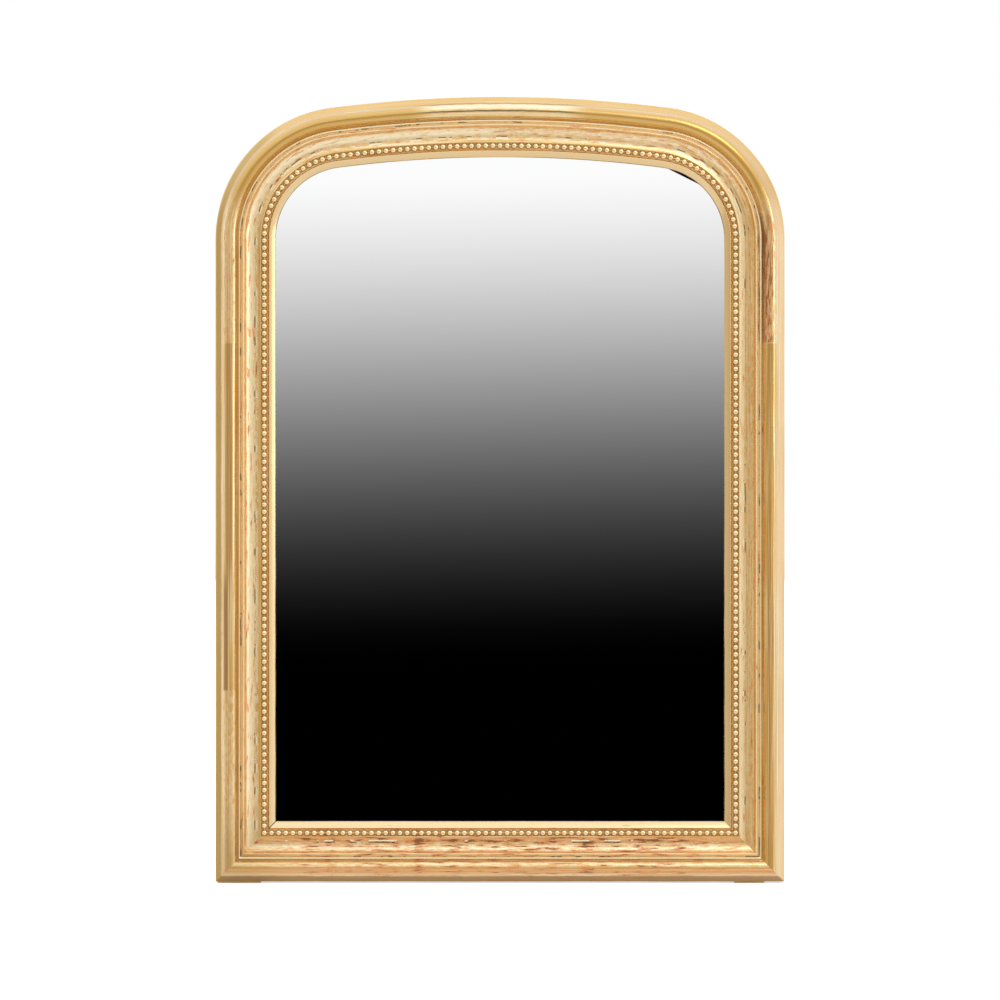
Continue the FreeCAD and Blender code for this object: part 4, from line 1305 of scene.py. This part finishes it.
# %% Hanging plates
KNUCKLE = 3.1
BORE = 1.6
INNER_DROP = 0.4
PLATE_THICKNESS = 1.5
plate_low, plate_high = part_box("hanger_plates")
PIN = Vector((0, back_plane + 4.4 * MM, plate_high.z - KNUCKLE * MM))
PLATE_HALF = 11 * MM
CLIPPED_CORNER = 4 * MM
HANGER_X = half_width - 31 * MM
# Stands the flat drawing upright, so that its sweep runs across the plate.
LYING_ACROSS = Matrix(((0, 0, -1, 0), (1, 0, 0, 0), (0, -1, 0, 0), (0, 0, 0, 1)))
STRIP_ROUND = 0.2
STRIP_ARC_STEP = 0.4 * MM


def strip_section():
    out, up, wood, foot = (value / MM for value in (PIN.y, PIN.z, back_plane, plate_low.z))
    face = wood + PLATE_THICKNESS
    return [(wood, foot), (wood, up - 2 * KNUCKLE), (out - KNUCKLE, up, KNUCKLE, True),
            (out + KNUCKLE, up, KNUCKLE, True), (out, up - KNUCKLE), (out, up - BORE, BORE, False),
            (out + BORE, up, BORE, False), (out - BORE, up),
            (face, up - 2 * KNUCKLE - INNER_DROP), (face, foot)]


def hanging_plate(side):
    shape = draw_section(strip_section(), STRIP_ROUND, STRIP_ARC_STEP)
    start = Matrix.Translation(RIGHT * (side * HANGER_X - PLATE_HALF)) @ LYING_ACROSS
    sweep(shape, start, [straight(RIGHT * 2 * PLATE_HALF)])
    close_ends(shape)
    for corner in (-1, 1):
        across = side * HANGER_X + corner * (PLATE_HALF - CLIPPED_CORNER)
        cut(shape, Vector((across, 0, plate_low.z)), Vector((corner, 0, -1)))
        close_ends(shape)
    return shape


plates = joined([hanging_plate(side) for side in (-1, 1)])
finish_piece(plates, "brass_plates", ["hanger_plates"], brass)

# %% [markdown]
# ## Hanging rings
# The wire is a circle swept along its path: half the pin, a tight bend, a leg, a half circle and back again.
# The two ends then meet in the middle of the pin and are merged.

# %% Rings
WIRE = 1.5 * MM
WIRE_SIDES = 16
WIRE_STEP = 0.9 * MM
RING_HALF = 13.9 * MM
RING_LEG = 12 * MM
RING_BEND = 2.6 * MM


def hanging_ring(side):
    middle = PIN + RIGHT * side * HANGER_X
    half_pin = RIGHT * (RING_HALF - RING_BEND)
    leg = UP * (RING_LEG - RING_BEND)
    down = -UP * RING_BEND
    quarter, half = math.pi / 2, math.pi
    legs = [straight(half_pin), bend(middle + half_pin + down, quarter), straight(-leg),
            bend(middle - UP * RING_LEG, half), straight(leg), bend(middle - half_pin + down, quarter),
            straight(half_pin)]
    shape = bmesh.new()
    bmesh.ops.create_circle(shape, segments=WIRE_SIDES, radius=WIRE)
    sweep(shape, Matrix.Translation(middle) @ Matrix.Rotation(quarter, 4, "Y"), legs, WIRE_STEP)
    bmesh.ops.remove_doubles(shape, verts=shape.verts, dist=2 * TOUCHING)
    return shape


for word, side in (("left", -1), ("right", 1)):
    finish_piece(hanging_ring(side), f"brass_ring_{word}", [f"hanging_ring_{word}"], brass,
                 f"ring_{word}")

# %% [markdown]
# ## The floor
# The floor is white and plain. To the camera it is white of its own, and it keeps the shadow of the mirror.

# %% Floor
FLOOR_SIZE = 60
FLOOR_GLOW = 0.6
bpy.ops.mesh.primitive_plane_add(size=FLOOR_SIZE)
floor = bpy.context.object
floor.name = "floor"
floor.visible_glossy = False
floor_material, tree = new_material("White_floor")
seen = add_node(tree, "LightPath").outputs["Is Camera Ray"]
cloth = add_node(tree, "BsdfDiffuse", {"Color": "#E8E8E8"})
glow = add_node(tree, "Emission", {"Color": (1, 1, 1, 1), "Strength": product(seen, FLOOR_GLOW)})
both = add_node(tree, "AddShader", {0: cloth.outputs[0], 1: glow.outputs[0]})
add_node(tree, "OutputMaterial", {"Surface": both.outputs[0]})
floor.data.materials.append(floor_material)
print("floor in m:", [round(length) for length in floor.dimensions[:2]])

# %% [markdown]
# ## The room
# The world is a soft studio with a window: brightest above and at the right, near white behind the frame,
# and dimmest in front and a little to the left, which gives each roll its bands. In the leaf the brightest
# parts are slightly blue, because daylight is cooler than gold.

# %% Light of the room, as brightness at levels from -1 to 1
FROM_LEFT_TO_RIGHT = [(-1.0, 0.76), (-0.89, 0.66), (-0.6, 0.60), (-0.3, 0.60), (0.0, 0.66), (0.35, 0.74),
                      (0.64, 0.82), (0.80, 0.92), (1.0, 1.04)]
FROM_LOW_TO_HIGH = [(-1.0, 0.92), (-0.6, 0.98), (-0.3, 0.9), (-0.15, 0.5), (0.0, 0.0), (0.15, 0.5),
                    (0.3, 0.92), (0.6, 1.12), (1.0, 1.22)]
BEHIND = 0.95
BEHIND_FROM = (-0.02, 0.25)
WINDOW_LIGHT = "#CFDFFF"
WINDOW_STRENGTH = 1.6
WINDOW_FROM = (0.72, 1.1)
world = bpy.data.worlds.new("studio")
bpy.context.scene.world = world
world.use_nodes = True
tree = world.node_tree
tree.nodes.clear()
rays = add_node(tree, "LightPath").outputs
direction = add_node(tree, "TexCoord").outputs["Generated"]
across, depth, height = add_node(tree, "SeparateXYZ", {0: direction}).outputs


def brightness(level, stops):
    share = add_node(tree, "MapRange", {0: level, 1: -1.0, 2: 1.0}).outputs[0]
    spread = [((position + 1) / 2, grey) for position, grey in stops]
    return add_node(tree, "ValToRGB", {0: share}, stops=spread).outputs[0]


room = laid_over(brightness(across, FROM_LEFT_TO_RIGHT), 1.0, brightness(height, FROM_LOW_TO_HIGH), "LIGHTEN")
room = laid_over(room, 1.0, product(step(depth, *BEHIND_FROM), BEHIND), "LIGHTEN")
window = [channel * WINDOW_STRENGTH for channel in linear(WINDOW_LIGHT)]
bright = product(step(room, *WINDOW_FROM), rays["Is Glossy Ray"])
room = laid_over(room, 1.0, laid_over((1, 1, 1, 1), bright, window), "MULTIPLY")
print("window in linear light:", [round(channel, 2) for channel in window[:3]])

# %% [markdown]
# ## The wall that the mirror sees
# The mirror itself sees a wall that fades from white above to black below, because a perfectly sharp
# reflection is a ray that Light Path calls singular. The fade has even steps to the eye, so its level is
# raised to the power of the screen.

# %% Wall and background
WALL_FADE = (-0.0306, 0.0565)
WALL_TILT = -0.02
SCREEN_POWER = 2.2
PALE_FLOOR = 0.45
FLOOR_FROM = (-0.12, -0.6)
tilted = total(height, product(across, WALL_TILT))
even = add_node(tree, "MapRange", {0: tilted, 1: WALL_FADE[0], 2: WALL_FADE[1]}).outputs[0]
level = product(total(even, step(tilted, *WALL_FADE)), 0.5)
wall = add_node(tree, "Math", {0: level, 1: SCREEN_POWER}, operation="POWER").outputs[0]
faded_wall = either(wall, product(step(height, *FLOOR_FROM), PALE_FLOOR))
colour = laid_over(room, rays["Is Singular Ray"], faded_wall)
colour = laid_over(colour, rays["Is Camera Ray"], (1, 1, 1, 1))
background = add_node(tree, "Background", {"Color": colour, "Strength": 1.0})
add_node(tree, "OutputWorld", {"Surface": background.outputs[0]})
print("nodes in the world:", len(tree.nodes))

# %% [markdown]
# ## Lamps
# Most of the light comes from the world. Two weak lamps, one high in front and one at the right, add the soft
# shadow on the floor and the small highlights on the pearls. One behind keeps the back readable.

# %% Lamps, as (place, size in m, power in W)
LAMPS = {
    "overhead_lamp": ((1.2, -1.6, 2.7), (1.4, 0.8), 10),
    "right_lamp": ((3.0, -0.9, 1.3), (0.8, 1.6), 8),
    "back_lamp": ((0.6, 2.6, 2.2), (1.6, 1.6), 18),
}
mirror_middle = UP * VIEW_HEIGHT

for name, (place, size, power) in LAMPS.items():
    light = bpy.data.lights.new(name, "AREA")
    light.shape = "RECTANGLE"
    light.size, light.size_y = size
    light.energy = power
    holder = bpy.data.objects.new(name, light)
    bpy.context.scene.collection.objects.link(holder)
    holder.location = place
    holder.rotation_euler = (mirror_middle - Vector(place)).to_track_quat("-Z", "Y").to_euler()
print("lamps:", len(LAMPS))

# %% [markdown]
# ## The camera
# The photograph looks straight at the mirror from the height of its middle, so the camera stands far in
# front with a long lens. Its distance and lens give the photograph's scale at the face of the frame.

# %% Camera
CAMERA_DISTANCE = 8.0
SENSOR_WIDTH = 36
camera_data = bpy.data.cameras.new("camera")
camera_data.sensor_width = SENSOR_WIDTH
camera_data.lens = SENSOR_WIDTH * CAMERA_DISTANCE / (PHOTO_PIXELS * METRES_PER_PIXEL)
camera = bpy.data.objects.new("camera", camera_data)
bpy.context.scene.collection.objects.link(camera)
camera.location = Vector((0, carcass_front - CAMERA_DISTANCE, VIEW_HEIGHT))
camera.rotation_euler = (math.pi / 2, 0, 0)
bpy.context.scene.camera = camera
bpy.context.scene.view_settings.view_transform = "Standard"
print("lens in mm:", round(camera_data.lens))
